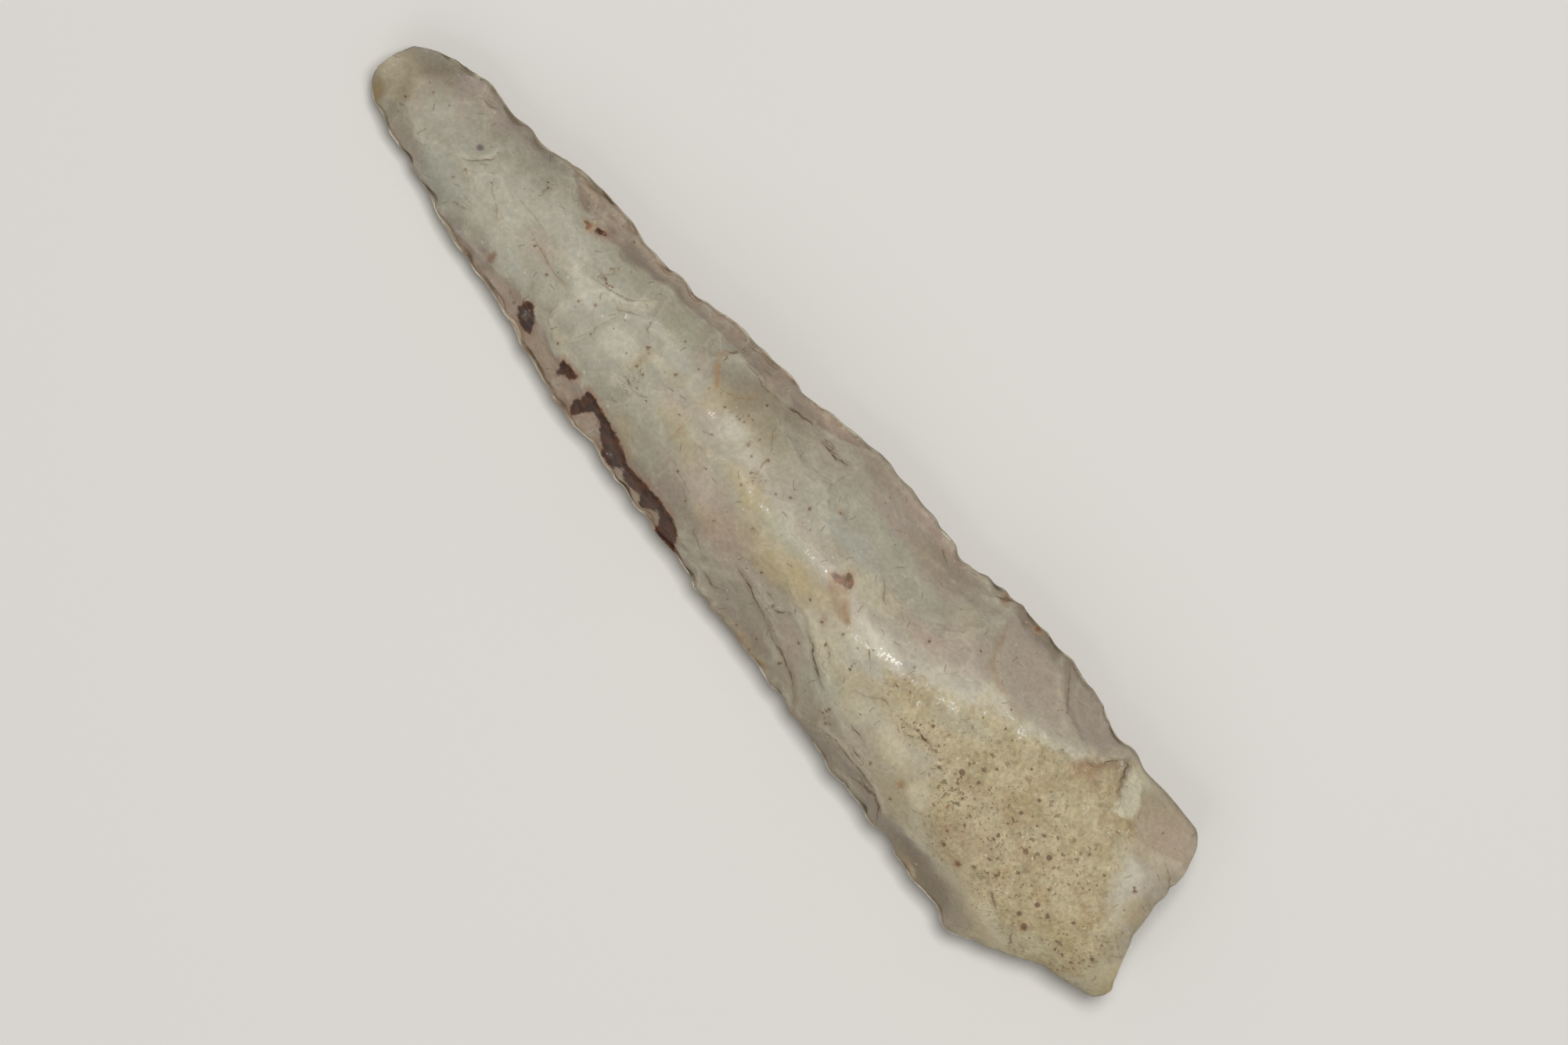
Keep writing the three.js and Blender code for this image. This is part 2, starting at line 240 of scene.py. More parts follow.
# Ripples run out from where most of the big flakes were struck, and fade before the scar's rim.
ripple_spacing = 1.25
ripple_height = 0.025
with_ripples = 11
for along, across, run, span, turn, _ in big_scars[:with_ripples]:
    inside = np.clip(bowls([(along, across, run, span, turn, 1.0)], x, y) * 2.2, 0, 1)
    away = np.hypot(x - along, y - across)
    ripple = ripple_height * np.sin(away * 2 * math.pi / ripple_spacing)
    relief += ripple * inside * (1 - inside) * 4 * upper

# The cortex: the chalky rind of the nodule, left as a pitted plateau on the butt. Its outline follows the
# scars that cut into it.
cortex_outline = [
    (2.6, 4.6), (2.9, 5.5), (4.2, 6), (6.2, 6.9), (7.4, 6.2), (9.6, 5.9), (11.4, 5.6), (14.2, 6),
    (16, 5.6), (17.6, 5.1), (17.8, 4), (19.4, 2.9), (20.4, 2.3), (22.8, 2.6), (24.6, 2.1), (26.2, 1.4),
    (24.4, 0.2), (22, -0.5), (20.8, -1.6), (18.6, -2.5), (16.4, -3.6), (14.2, -4.2), (12.8, -5.4),
    (11.8, -6.7), (11, -7.4), (10.2, -6.2), (9.4, -5.2), (8, -4.6), (7.6, -3.6), (6.2, -2.6),
    (5.6, -1), (4.4, 0.2), (3, 0.6), (2.3, 2),
]


def from_edge(ax, ay, bx, by, x, y):
    """How far each point is from a straight edge between two corners."""
    run, rise = bx - ax, by - ay
    t = np.clip(((x - ax) * run + (y - ay) * rise) / (run * run + rise * rise), 0, 1)
    return np.hypot(x - ax - t * run, y - ay - t * rise)


def inside_of(outline, x, y):
    """How far each point lies inside a closed outline, in millimetres, and below zero outside it."""
    corners = np.array(outline, float)
    ends = np.roll(corners, -1, axis=0)
    nearest = np.full(len(x), np.inf)
    within = np.zeros(len(x), bool)
    for (ax, ay), (bx, by) in zip(corners, ends):
        nearest = np.minimum(nearest, from_edge(ax, ay, bx, by, x, y))
        crosses = (ay > y) != (by > y)
        within ^= crosses & (x < ax + (y - ay) * (bx - ax) / (by - ay or 1e-9))
    return np.where(within, nearest, -nearest)


cortex = inside_of(cortex_outline, bent_x, bent_y) - 6 * lower
on_cortex = np.clip(cortex / 0.8 + 0.3, 0, 1)
rind_lumps, rind_rise = 0.05, 0.03
relief += on_cortex * (cloud(places, 0.9, 3, 9.0) * rind_lumps + rind_rise)

# The worked margins of the drill bit: a narrow band of steep retouch, where the patina is thin and the
# flint shows pinkish. It lies a little below the face inside it, with a crisp step down to it.
bevel_outlines = [
    [(38, -7.6), (41, -6.4), (43, -5.7), (46, -4.9), (49.5, -5.2), (52, -4.6), (55, -4.2),
     (57, -3.7), (60, -3.6), (62, -3.1), (64, -2.9), (66, -3.2), (68.5, -4.4), (66, -9),
     (38, -12)],
    [(39.5, 7.8), (41, 7), (43, 5.8), (45, 5.5), (48.5, 5.5), (51, 4.8), (53.5, 4.2),
     (57, 4.3), (59, 3.8), (62, 3.5), (65, 3.5), (68, 3.5), (71, 3.2), (74, 3), (76, 9),
     (39.5, 12)],
]
bevel = np.max([inside_of(o, x + warp_x * 0.5, y + warp_y * 0.5) for o in bevel_outlines], axis=0)
# The band runs out towards the tip, sooner on the minus side.
bevel -= np.where(y > 0, np.clip((x - 64) / 7, 0, 1.5), np.clip((x - 61.5) / 4.5, 0, 1.5))
bevel_step, step_width = 0.24, 0.5
sunk += bevel_step * (1 - np.exp(-np.clip(bevel, 0, None) / step_width))
bevel -= 2 * lower

# Patina and handling have softened the whole skin, which still rolls a little from place to place.
slow_roll, fine_roll = 0.04, 0.008
relief += cloud(places, 2.6, 2, 20.0) * slow_roll + cloud(places, 0.8, 2, 31.0) * fine_roll


def square_to(face):
    """How each point of one face sinks, as a direction taken from that face's own points. It fades out
    about a millimetre round the rim, so that the rim sinks with the face and leaves no ledge."""
    on_face = (face > 0.7).reshape(-1, 1)
    way = averaged(normals * on_face, 9)
    way /= np.maximum(np.linalg.norm(way, axis=1), 1e-6).reshape(-1, 1)
    return -way * np.clip(averaged(1.0 * on_face, 6) * 3, 0, 1)


shift = normals * relief.reshape(-1, 1)
for fall, face in ((sunk, upper), (bowls(under, x, y), lower)):
    shift += square_to(face) * fall.reshape(-1, 1)
relief -= sunk * upper
tip_starts, tip_let_out = 77.5, 0.35
shift[:, 1] += tip_let_out * np.clip(y, -1, 1) * np.clip((x - tip_starts) / 2, 0, 1)
places = places + averaged(shift, 1)

# The cuts leave a thin lip along the rim, which is rubbed away. They have also narrowed the stone, so each
# side is let out again by what its outline has lost on average over a few millimetres.
rim = np.clip(1.3 - 1.3 * np.abs(facing_up), 0, 1)
given_back = 0.75
places += (averaged(places, 8) - places) * np.clip(2 * rim, 0, 1).reshape(-1, 1)
for side, margin in ((1, plus_margin), (-1, minus_margin)):
    left = np.array([(side * places[n, 1]).max() for n in near])
    lost = np.convolve(side * margin - left, np.full(9, 1 / 9), "same")
    beside = np.clip(side * y / 4, 0, 1) * np.clip((x - 4) / 4, 0, 1)
    places[:, 1] += side * np.interp(x, stations, lost) * beside * given_back
places[:, 2] = np.maximum(places[:, 2], 0.0)
mesh.vertices.foreach_set("co", ((places + butt) * mm).ravel())
mesh.update()
bpy.ops.object.shade_smooth_by_angle(angle=math.radians(50))
x, y, z = places.T

# How much each point stands out of the skin round it, which wear and patina follow.
stands_out = (relief - averaged(relief, 14)[:, 0]) * np.abs(upper - lower)


def linear(hex_colour):
    """An sRGB hex colour as linear red, green, blue and alpha."""
    parts = [int(hex_colour[i : i + 2], 16) / 255 for i in (1, 3, 5)]
    return (*(p / 12.92 if p <= 0.04045 else ((p + 0.055) / 1.055) ** 2.4 for p in parts), 1.0)


# Tints of the patina, laid on as soft strokes. Each colour has its strokes: along, across, half length,
# half width, turn, strength and, where it isn't the usual one, how soft the edge is, from 0 for crisp to 1.
usual_softness = 0.8
bare_flint = "#a29884"
green_white = "#a39f8c"
rose = "#a09085"
mauve = "#928577"
deep_mauve = "#80715c"
sand = "#a09276"
olive = "#988e74"
tan = "#978a6d"
dim_tan = "#8a7d63"
cream = "#b0a27f"
straw = "#ad9a6d"
chalk = "#b7b09a"
white_chalk = "#c2b798"
khaki = "#a2946c"
grey_green = "#979280"
# Dusk is a dark tone, and serves also as painted shade on the margins and the rim.
dusk_tone_and_shade = "#796c59"
pearl = "#a6a496"
moss = "#99a087"
blush = "#a88c7d"
translucent = "#827d68"
ochre = "#997a53"
iron = "#88713e"
strokes = [
    (grey_green, [(60, 0, 23, 8, 0, 0.9, 0.3)]),
    (khaki, [(4, 6, 9, 4.6, 30, 0.8, 0.5), (19, 5.6, 5, 2.2, 0, 0.5)]),
    (green_white, [
        (58, -0.3, 13, 3.6, 0, 0.9, 0.5), (67, 0.2, 9, 2.8, 0, 0.8, 0.5), (33, -3.6, 8, 2.4, 0, 0.7, 0.6),
        (37.5, -3, 4, 2.6, 0, 0.5, 0.7), (49.6, -3.9, 1.8, 1.1, 0, 0.7, 0.5),
    ]),
    (olive, [(45.2, -3.6, 4.2, 1.8, 0, 0.9, 0.6), (53, -3.2, 4, 1, 6, 0.4, 0.7)]),
    (sand, [(6.4, -5.6, 4.6, 2.8, 0, 0.9, 0.5)]),
    (dim_tan, [(2.6, -1.5, 1.6, 5, 8, 0.9, 0.6)]),
    (cream, [(1.6, 3.4, 2.6, 2.4, 0, 0.9, 0.7)]),
    (rose, [
        (24.5, -3.4, 3.2, 2.2, 0, 0.6), (31, -6, 6.5, 1.6, 0, 0.8, 0.6),
        (43, 2.4, 2.4, 1.5, -20, 0.7), (49.5, 0.2, 2.6, 1.1, 0, 0.6), (45.5, 3.2, 4.5, 1, -10, 0.5),
        (41, 3.8, 3.2, 1.6, 0, 0.8), (26, 6.2, 5, 1.4, 0, 0.3), (17.4, -10.5, 7.3, 7.3, 0, 0.8, 0.08),
        (72, 3.6, 7, 1.3, -8, 0.5, 0.6), (72.5, -3.6, 6.5, 1.5, 3, 0.8, 0.6),
        (66, 4.3, 4, 1.2, -6, 0.4, 0.7),
    ]),
    (mauve, [
        (14.8, -9.7, 3.9, 3.9, 0, 0.8, 0.08), (20.2, -8.6, 5.4, 1.6, 0, 0.9, 0.6),
        (23.2, -8, 3.4, 2, 0, 0.9, 0.6), (14.2, 8.8, 5.4, 2.4, 0, 0.85, 0.3),
    ]),
    (deep_mauve, [(14.6, 9.3, 5.4, 1.8, 0, 0.85, 0.6), (24, 8.8, 5.8, 1.9, 0, 0.85, 0.5)]),
    (mauve, [
        (34, 6.9, 6.5, 1.7, -8, 0.7, 0.4), (45.3, 4.8, 2.6, 1.3, -8, 0.9, 0.5),
        (49.6, 4.6, 3.5, 1, -14, 0.6), (30.5, -6.9, 5.5, 1, 0, 0.8, 0.7),
    ]),
    (olive, [(30, 6, 8, 2.2, -6, 0.4, 0.9), (12, 8, 6, 1.5, 0, 0.4, 0.9)]),
    (cream, [
        (28, 3.2, 5.5, 1.4, -5, 0.7), (22.6, 4, 4.5, 1.6, 0, 0.7), (12.5, 6.3, 5.5, 0.8, 0, 0.7, 0.7),
        (21.3, -8.8, 3, 0.6, 0, 0.5, 0.6),
    ]),
    (straw, [(36.8, 1.9, 4.6, 1.5, 0, 0.7, 0.9), (42, 0.2, 3.4, 1.1, 0, 0.7, 0.9)]),
    (chalk, [
        (29.8, 1.9, 2.8, 1.3, -20, 0.8, 0.4), (32, 3, 3.4, 1, -14, 0.6, 0.7),
        (28.5, 0.2, 3, 0.9, 6, 0.7, 0.6), (31.8, -1.6, 3, 0.9, 0, 0.6, 0.7),
        (23.2, -1.4, 3, 1, 24, 0.3, 0.6), (5.6, -2.1, 2.4, 1.6, -45, 0.9, 0.5),
        (8.5, -3, 0.6, 0.5, 0, 0.7, 0.5), (60.5, 1.9, 1.6, 1, 10, 0.4, 0.5),
        (69, 2.4, 2.4, 1, -10, 0.5, 0.6),
    ]),
    (rose, [(75.6, -1.2, 2.6, 2.6, 0, 0.6, 0.7)]),
    (dim_tan, [(76.8, -0.6, 2.2, 3.2, 0, 0.8, 0.7)]),
    (olive, [(44, -4.6, 4, 1.2, 0, 0.7)]),
    (mauve, [(30, -5.9, 4.5, 1.2, 0, 0.7)]),
    (chalk, [(23.4, 3.6, 4, 1.2, 0, 0.6, 0.7), (30, 3.8, 2.6, 1, -20, 0.7, 0.7)]),
]
# Soft clouds of tone that lie over the strokes. The dusk ones are darker tone and partly painted shade,
# most of all along the margins and over the tip half.
clouds = [
    (dusk_tone_and_shade, [
        (61, 0, 24, 7.5, 0, 0.12), (2.6, 1.2, 1.4, 2.4, 8, 0.3), (2.6, -2.4, 1.7, 3.8, 8, 0.45),
        (14.5, 7.9, 5.4, 1.3, -3, 0.75), (20, 7.6, 4, 1.2, -3, 0.55), (26, 7.4, 4, 1.2, -2, 0.55),
        (33, 6.9, 6, 1.2, -2, 0.55), (36.5, 5.8, 2.5, 1.2, -5, 0.25), (42.5, 4.4, 3.2, 1.3, -6, 0.35),
        (46.5, 5.3, 6, 1.3, -9, 0.5), (21, -8.5, 6, 1, 0, 0.7), (29, -6.6, 5.5, 1.4, 0, 0.45),
        (37, -7.2, 4.2, 0.9, 0, 0.4), (44, -4.7, 3.4, 1.1, 0, 0.35), (46.5, -3.4, 6, 2.4, 3, 0.4),
        (46, -6.1, 5, 0.9, 4, 0.45), (55, -4.6, 6, 0.9, 6, 0.4), (58.5, -4, 2.4, 0.9, 5, 0.45),
        (70, -3.7, 5.5, 1, 2, 0.6), (76.8, -2, 3.4, 1.7, 15, 0.4), (74.6, 0.2, 4, 2.4, 0, 0.25),
        (25.8, -0.8, 2, 0.9, 0, 0.2), (33.4, 0.5, 2.4, 0.8, 0, 0.25), (48.6, -0.8, 2.6, 1.4, 0, 0.25),
        (56, 1, 3.4, 1.2, 0, 0.3), (15, 8.2, 5.2, 1, -3, 0.6), (22, 6.8, 6.5, 0.9, -2, 0.4),
        (36, 5.1, 3.8, 1, -6, 0.3), (46, 3.6, 4.5, 1.1, -6, 0.3), (49.5, 5, 3, 0.9, -8, 0.3),
        (46, -2.4, 2.8, 1.1, 0, 0.35), (50, -5.5, 3.6, 0.8, 6, 0.3), (58.3, -4.1, 2.6, 0.9, 5, 0.35),
        (77.8, -1.8, 2.2, 1.4, 0, 0.3), (22, -8.4, 4.5, 0.9, 0, 0.5), (26, 6.4, 3.2, 1, 0, 0.4),
        (26, -8.2, 2.4, 0.7, 0, 0.4), (42, -5.4, 2.4, 0.8, 0, 0.3), (50, 3.5, 2.6, 1, -5, 0.25),
        (58, -3.8, 3, 0.8, 5, 0.3), (61.5, -4.4, 3, 0.8, 3, 0.25),
    ]),
    (cream, [
        (9, 6.9, 3.6, 1, 10, 0.5), (20.5, -0.9, 4, 1.2, 22, 0.5), (23.4, 2.4, 3.6, 1.2, 0, 0.45),
        (18, -3.4, 3, 1.4, 10, 0.5), (36, 2.2, 3.6, 1.2, 0, 0.35), (18.5, -1.2, 2.4, 1, 0, 0.35),
        (10, -0.8, 3, 2.2, 0, 0.3),
    ]),
    (straw, [
        (42, 1, 16, 3.2, 0, 0.18), (12, -6, 9, 3, 0, 0.18), (9, 7, 9, 2.6, 0, 0.2),
        (24, 6.8, 9, 2, 0, 0.15), (15.5, 8.3, 4, 0.8, -3, 0.4), (34, 7.2, 4.5, 0.8, 0, 0.3),
        (46.5, 6.3, 4, 0.8, 0, 0.3), (58, 4.9, 3.6, 0.8, -6, 0.35), (45, -2, 6, 1.8, 0, 0.22),
        (50.5, -0.9, 2.4, 0.9, 0, 0.25), (50.5, 3.6, 2.6, 0.9, 0, 0.25), (30.5, -5.6, 3.6, 1.6, 0, 0.2),
        (6.5, 5.5, 6.5, 3.4, 25, 0.3), (11, 6.4, 3, 0.9, 0, 0.3), (18.2, 4, 2.6, 1.4, 0, 0.3),
        (3.5, -1, 1.3, 1.8, 0, 0.4), (13.2, -5, 2.2, 1, 20, 0.35), (34, 1.4, 4, 1.5, 0, 0.3),
        (42, 3.6, 2.8, 1.1, -10, 0.35), (48.6, 0.9, 2.6, 1.4, 0, 0.3),
    ]),
    (white_chalk, [
        (6.8, 7, 2.8, 0.9, 25, 0.35), (22.6, 3.2, 2.6, 1.2, 0, 0.3), (31, 3.6, 3.2, 1.2, -25, 0.5),
        (31.4, -1.8, 4.6, 1.1, 0, 0.5), (25.4, -4.6, 2.4, 1.3, -40, 0.25),
        (26, 3.6, 2.4, 1.1, -10, 0.35), (30, 2.4, 2.8, 1.2, -20, 0.4), (10, -7.2, 1.8, 0.9, 0, 0.6),
        (22.2, 1.8, 2.6, 0.9, 0, 0.35), (6.3, 5.6, 3.4, 1.4, 25, 0.6), (10.2, 6.5, 2.8, 0.8, 0, 0.5),
        (22, -1, 3.2, 1.1, 20, 0.4), (18, -2.6, 2.8, 0.9, 15, 0.4), (57.5, 3.4, 2.6, 0.8, -6, 0.35),
    ]),
    (pearl, [
        (20.6, -0.4, 4, 1.1, 22, 0.35), (65, 2.5, 5.6, 1, -6, 0.35),
        (64, -2.4, 5.6, 1, 0, 0.35), (73, 0, 3.4, 1.6, 0, 0.25), (70.5, 2.2, 4.5, 1.2, -6, 0.65),
        (34.5, -2.7, 3.4, 1.2, 0, 0.75), (72, 2.6, 4.6, 1.4, -8, 0.5),
    ]),
    (moss, [
        (28.6, 4.4, 3, 1.2, -15, 0.3), (18.4, -4.4, 3.4, 0.8, 0, 0.3), (33, -5, 5, 0.7, 0, 0.3),
        (38.5, 0.4, 5, 1, 0, 0.3), (71, 3, 3.4, 0.9, -10, 0.3), (75.3, -0.6, 2, 1.4, 0, 0.3),
        (52.6, -3, 2.2, 1.4, 0, 0.3),
    ]),
    (blush, [
        (12.6, -4.6, 1.8, 1, 25, 0.35), (26.8, -2.2, 3.4, 0.9, 0, 0.35),
        (32, -7.3, 8, 0.8, 0, 0.35), (47, -0.9, 2.2, 1, 0, 0.25), (44.8, 2.2, 2.4, 1.4, -20, 0.3),
        (63.5, 0.5, 2.2, 1.2, 0, 0.3), (14.2, 4, 3.6, 1.4, 20, 0.2), (60.5, 4.6, 4, 0.9, -8, 0.5),
        (32.2, 4.8, 2.4, 1, -25, 0.35),
    ]),
]
# Smaller marks over those: chips, stains and flecks that can be told apart on the stone.
top_strokes = [
    ("#9c8871", [(40.2, 3.2, 3.4, 2.2, 0, 0.6, 0.7)]),
    ("#695c5b", [(71.35, -0.6, 0.3, 0.34, 0, 0.95, 0.5)]),
    ("#6a5e4a", [(15, 8, 5.2, 1, -3, 0.55)]),
    ("#b49c87", [(5.6, -6.2, 3.8, 2.6, 10, 0.6, 0.9)]),
    ("#8f7a66", [(22.4, -8.5, 2.6, 0.6, 0, 0.6)]),
    ("#8f6b4c", [(13.1, -4.8, 0.9, 0.45, 35, 0.65), (12.2, -5.6, 0.8, 0.4, 60, 0.45)]),
    (white_chalk, [(14.8, 8.5, 0.7, 0.3, -20, 0.6, 0.7)]),
    ("#a08058", [(15.6, 8.5, 0.6, 0.4, -10, 0.6, 0.7)]),
    ("#9a8b73", [(75.2, 2.8, 3.4, 1, -8, 0.5)]),
    ("#8d7468", [(65.6, 3.4, 0.8, 0.4, 5, 0.5)]),
    ("#b5a28d", [(63.2, 4.2, 2.2, 1, -5, 0.6)]),
    ("#84604a", [(65.1, 3.2, 0.36, 0.65, -15, 0.9)]),
    (white_chalk, [
        (18.7, 4.7, 1.2, 1, 0, 0.7, 0.5), (21, -2.9, 0.8, 1.2, 0, 0.5, 0.6),
        (22.4, 3.9, 2, 0.9, 0, 0.5, 0.6), (26.2, 4.4, 1.8, 0.7, -10, 0.5, 0.6),
        (8.8, 6.6, 1.9, 0.7, -10, 0.7, 0.4), (16.4, 6.6, 1.8, 0.5, -5, 0.5, 0.6),
    ]),
    (chalk, [(28.9, 1.5, 1.6, 0.7, 20, 0.4, 0.5)]),
    (white_chalk, [(28.2, 0.9, 2.4, 0.6, 8, 0.4, 0.7), (29.8, 3.8, 2.2, 0.7, -22, 0.35, 0.7)]),
    (chalk, [
        (45.6, -1.6, 1.6, 0.9, 0, 0.5, 0.5), (43.2, -1.1, 0.8, 0.7, 0, 0.4, 0.5),
        (55.2, 0.6, 1.7, 1.2, 20, 0.4, 0.4), (52.7, -0.5, 0.6, 0.4, 0, 0.5, 0.4),
    ]),
    (straw, [
        (34.8, 1.2, 2, 1.1, 0, 0.4, 0.9), (36.6, 2.7, 2.4, 0.9, 0, 0.4, 0.9),
        (41, 0.6, 2.6, 1.2, 0, 0.35, 0.9), (41.6, -0.3, 1.6, 0.5, 0, 0.35),
        (47.9, -1.6, 1.8, 1.6, 30, 0.35), (46.6, 1.6, 2.2, 0.8, -20, 0.25),
        (49.4, 4.3, 1.4, 0.5, -20, 0.3, 0.7), (53.2, 0.2, 1, 1.8, 0, 0.3),
        (26.6, 2.4, 1.8, 0.7, 0, 0.4),
    ]),
    (tan, [(32, 0.5, 1.9, 0.8, -20, 0.8, 0.5)]),
    (ochre, [
        (32.2, 0.4, 2, 0.9, -20, 0.4, 0.6), (31, 0.75, 0.8, 0.4, -10, 0.5, 0.6),
        (31.9, 0.35, 0.9, 0.35, -25, 0.4, 0.6), (33, 0.1, 0.8, 0.4, -40, 0.5, 0.6),
    ]),
    ("#8c6d4d", [
        (30.7, 0.8, 0.4, 0.3, 0, 0.8), (31.6, 0.5, 0.45, 0.25, -30, 0.7), (32.3, 0.75, 0.3, 0.2, 0, 0.7),
        (33, 0.3, 0.5, 0.25, -40, 0.8), (31.8, 2, 0.4, 0.25, 0, 0.4), (33.2, 1.4, 0.3, 0.2, 30, 0.35),
    ]),
    (translucent, [
        (9.9, 9.3, 1.8, 0.45, 14, 0.6, 0.4), (11.4, -8.2, 0.9, 0.45, 0, 0.6, 0.4),
        (16.8, -8.9, 2.2, 0.4, -4, 0.6, 0.6), (8.2, 8, 0.9, 0.3, 30, 0.5, 0.6),
    ]),
    (deep_mauve, [(14.2, 7.6, 4.8, 0.9, -3, 0.5), (41.4, 7, 1.6, 0.6, -8, 0.6, 0.5)]),
    (ochre, [(20, 5.2, 0.6, 0.45, -30, 0.8)]),
    ("#8c6d4d", [(19.9, 5.25, 0.35, 0.28, -30, 0.6)]),
    (ochre, [
        (12.7, -4.4, 1.6, 0.8, 35, 0.6), (15.3, 8.6, 1.4, 0.5, 0, 0.5, 0.7),
        (32.4, 7.3, 0.7, 0.5, 0, 0.6, 0.7), (34.6, 7.2, 0.6, 0.4, 0, 0.6, 0.7),
    ]),
    ("#8f6b4c", [(32.2, 7.3, 0.4, 0.3, 0, 0.6), (34.5, 7.15, 0.25, 0.3, 0, 0.5)]),
    (ochre, [
        (13.8, 5.9, 1.2, 0.35, -8, 0.4), (45.9, 0.8, 1, 0.4, 0, 0.3), (47.9, 1.2, 0.35, 0.9, 0, 0.3),
        (36.8, -3.5, 0.4, 0.35, 0, 0.4, 0.7), (74.2, 0.1, 0.4, 0.3, 0, 0.2, 0.7),
        (62.3, 3.9, 0.8, 0.4, 0, 0.3), (51.2, 4.5, 1.3, 0.3, -20, 0.4),
    ]),
    (tan, [(78.6, 0.4, 2, 2.2, 0, 0.4, 0.5)]),
    (iron, [(79, 2.1, 1.7, 1, -45, 0.95, 0.6)]),
    ("#94702f", [(78.85, 2.2, 1, 0.45, -45, 0.85, 0.6)]),
    (iron, [(0.4, 3.6, 0.7, 0.9, 0, 0.3)]),
]
under_strokes = [
    (rose, [(14, 0, 12, 7, 0, 0.6)]),
    (green_white, [(34, -2, 12, 5, 0, 0.8)]),
    (cream, [(42, 4, 12, 4, -5, 0.6)]),
    (mauve, [(26, 6, 8, 3, 0, 0.6, 0.7)]),
    (rose, [(56, 0, 10, 5, 0, 0.6)]),
    (green_white, [(68, 0, 9, 3, 0, 0.8)]),
    (cream, [(6, 2, 5, 5, 0, 0.6, 0.7)]),
]
tint = np.tile(linear(bare_flint), (count, 1))
marks = np.tile(linear(bare_flint), (count, 1))
marks[:, 3] = 0


def paint(layer, colour, cover):
    """Lays a colour over a layer of colours with alpha, as far as cover says."""
    under = layer[:, 3] * (1 - cover)
    weight = (cover / (cover + under + 1e-6)).reshape(-1, 1)
    layer[:, :3] += (np.array(linear(colour))[:3] - layer[:, :3]) * weight
    layer[:, 3] = cover + under


def paint_strokes(layer, face, groups):
    """Lays strokes on one face, colour by colour."""
    for colour, rows in groups:
        for along, across, run, span, turn, strength, *softness in rows:
            soft = softness[0] if softness else usual_softness
            inner = 1 - np.sqrt(1 - bowls([(along, across, run, span, turn, 1.0)], bent_x, bent_y))
            cover = np.clip(inner / soft, 0, 1)
            paint(layer, colour, cover * cover * (3 - 2 * cover) * strength * face)


paint_strokes(tint, upper, strokes)
paint_strokes(tint, lower, under_strokes)
paint_strokes(marks, upper, clouds)
paint_strokes(marks, upper, top_strokes)

# A white band of chalk lies just under the rind and shows round the cortex.
paint(tint, chalk, np.exp(-(((cortex + 0.5) / 0.45) ** 2)) * 0.5)

# Small facets where a chip has come away to chalk or to a fresher face: colour, strength and corners.
facets = [
    ("#cdc5aa", 0.85, [
        (8.2, -4.9), (9.4, -4.3), (9.9, -5.2), (10.6, -6.4), (10.9, -7.6), (9.6, -7.2), (8.4, -6.2),
    ]),
    (chalk, 0.45, [(51.9, 2.1), (53.4, 3.1), (53.7, 2.5), (53.6, 1.95)]),
    (chalk, 0.3, [
        (53.6, 1.2), (54.6, 1.6), (55.9, 1.5), (56.5, 0.4), (56.2, -0.6), (54.9, -1), (53.3, 0.2),
    ]),
    (white_chalk, 0.35, [
        (55.2, -2.4), (55.9, -1.6), (56.8, -0.9), (57.5, -1.1), (56.6, -1.9), (56, -2.8), (55.5, -3.4),
    ]),
    (white_chalk, 0.35, [(51.6, -0.3), (52.8, -0.2), (53.1, -0.8), (52.2, -0.9)]),
    (chalk, 0.3, [(48.1, 2.6), (48.7, 2.5), (49.2, 1.9), (48.6, 1.8)]),
    (chalk, 0.3, [(58, 0.8), (59.8, 0.9), (60.2, 0.2), (59.9, -0.8), (58.7, -1), (57.6, -0.3)]),
    (white_chalk, 0.25, [(60.2, 0.3), (61.9, 0.3), (62.3, -0.4), (61.6, -0.8), (60.4, -0.6)]),
    (chalk, 0.25, [(44.2, -0.2), (46.6, -0.2), (47.2, -1), (46, -2.2), (44.6, -1.9), (44, -1)]),
    (blush, 0.25, [(49.4, -2.2), (51.2, -2.6), (51.6, -3.3), (50.2, -3.2)]),
    (chalk, 0.3, [(66, 2.6), (68, 2.9), (69.6, 2.4), (69, 1.6), (67, 1.5)]),
    (tan, 0.35, [(77.2, 2.9), (77, 1), (77.6, -0.9), (79, -1.6), (80.5, -1.6), (80.5, 2), (78.5, 3)]),
    ("#aa9b87", 0.5, [
        (13.2, -5.6), (14.2, -4.7), (15.8, -4.1), (17.6, -3.6), (19.4, -3.5), (21, -4), (22.2, -4.8),
        (23, -5.8), (23.6, -6.8), (23.8, -7.8), (12.6, -8), (12.6, -6.2),
    ]),
    ("#b5ad99", 0.4, [
        (13.2, -5.7), (14.2, -4.7), (15.8, -4.1), (18.4, -3.6), (18, -4.6), (16, -5.4), (14.2, -6),
    ]),
    (mauve, 0.35, [(12.7, -6), (14.3, -5.9), (16.4, -6.4), (18, -7.5), (19.3, -9.2), (12, -9.2)]),
]
for colour, strength, corners in facets:
    edge = inside_of(corners, x + warp_x * 0.4, y + warp_y * 0.4)
    paint(marks, colour, np.clip(edge / 0.2 + 0.4, 0, 1) * strength * upper)

# Painted shade: the rim and the steep sides are painted darker, and so is a strip just inside each margin.
paint(marks, dusk_tone_and_shade, rim * 0.75)
for side in (1, -1):
    margin = np.array([(side * places[n, 1]).max() for n in near])
    inwards = np.interp(x, stations, margin) - side * y
    paint(marks, dusk_tone_and_shade, np.clip(1.3 - inwards / 0.3, 0, 1) * upper * 0.65)


def from_line(points, x, y):
    """How far each place is from a line through some points, and on which side of it the place lies."""
    nearest, side = np.full(len(x), np.inf), np.zeros(len(x))
    for (ax, ay), (bx, by) in zip(points[:-1], points[1:]):
        away = from_edge(ax, ay, bx, by, x, y)
        closer = away < nearest
        nearest[closer] = away[closer]
        side[closer] = np.sign((y - ay) * (bx - ax) - (x - ax) * (by - ay))[closer]
    return nearest, side


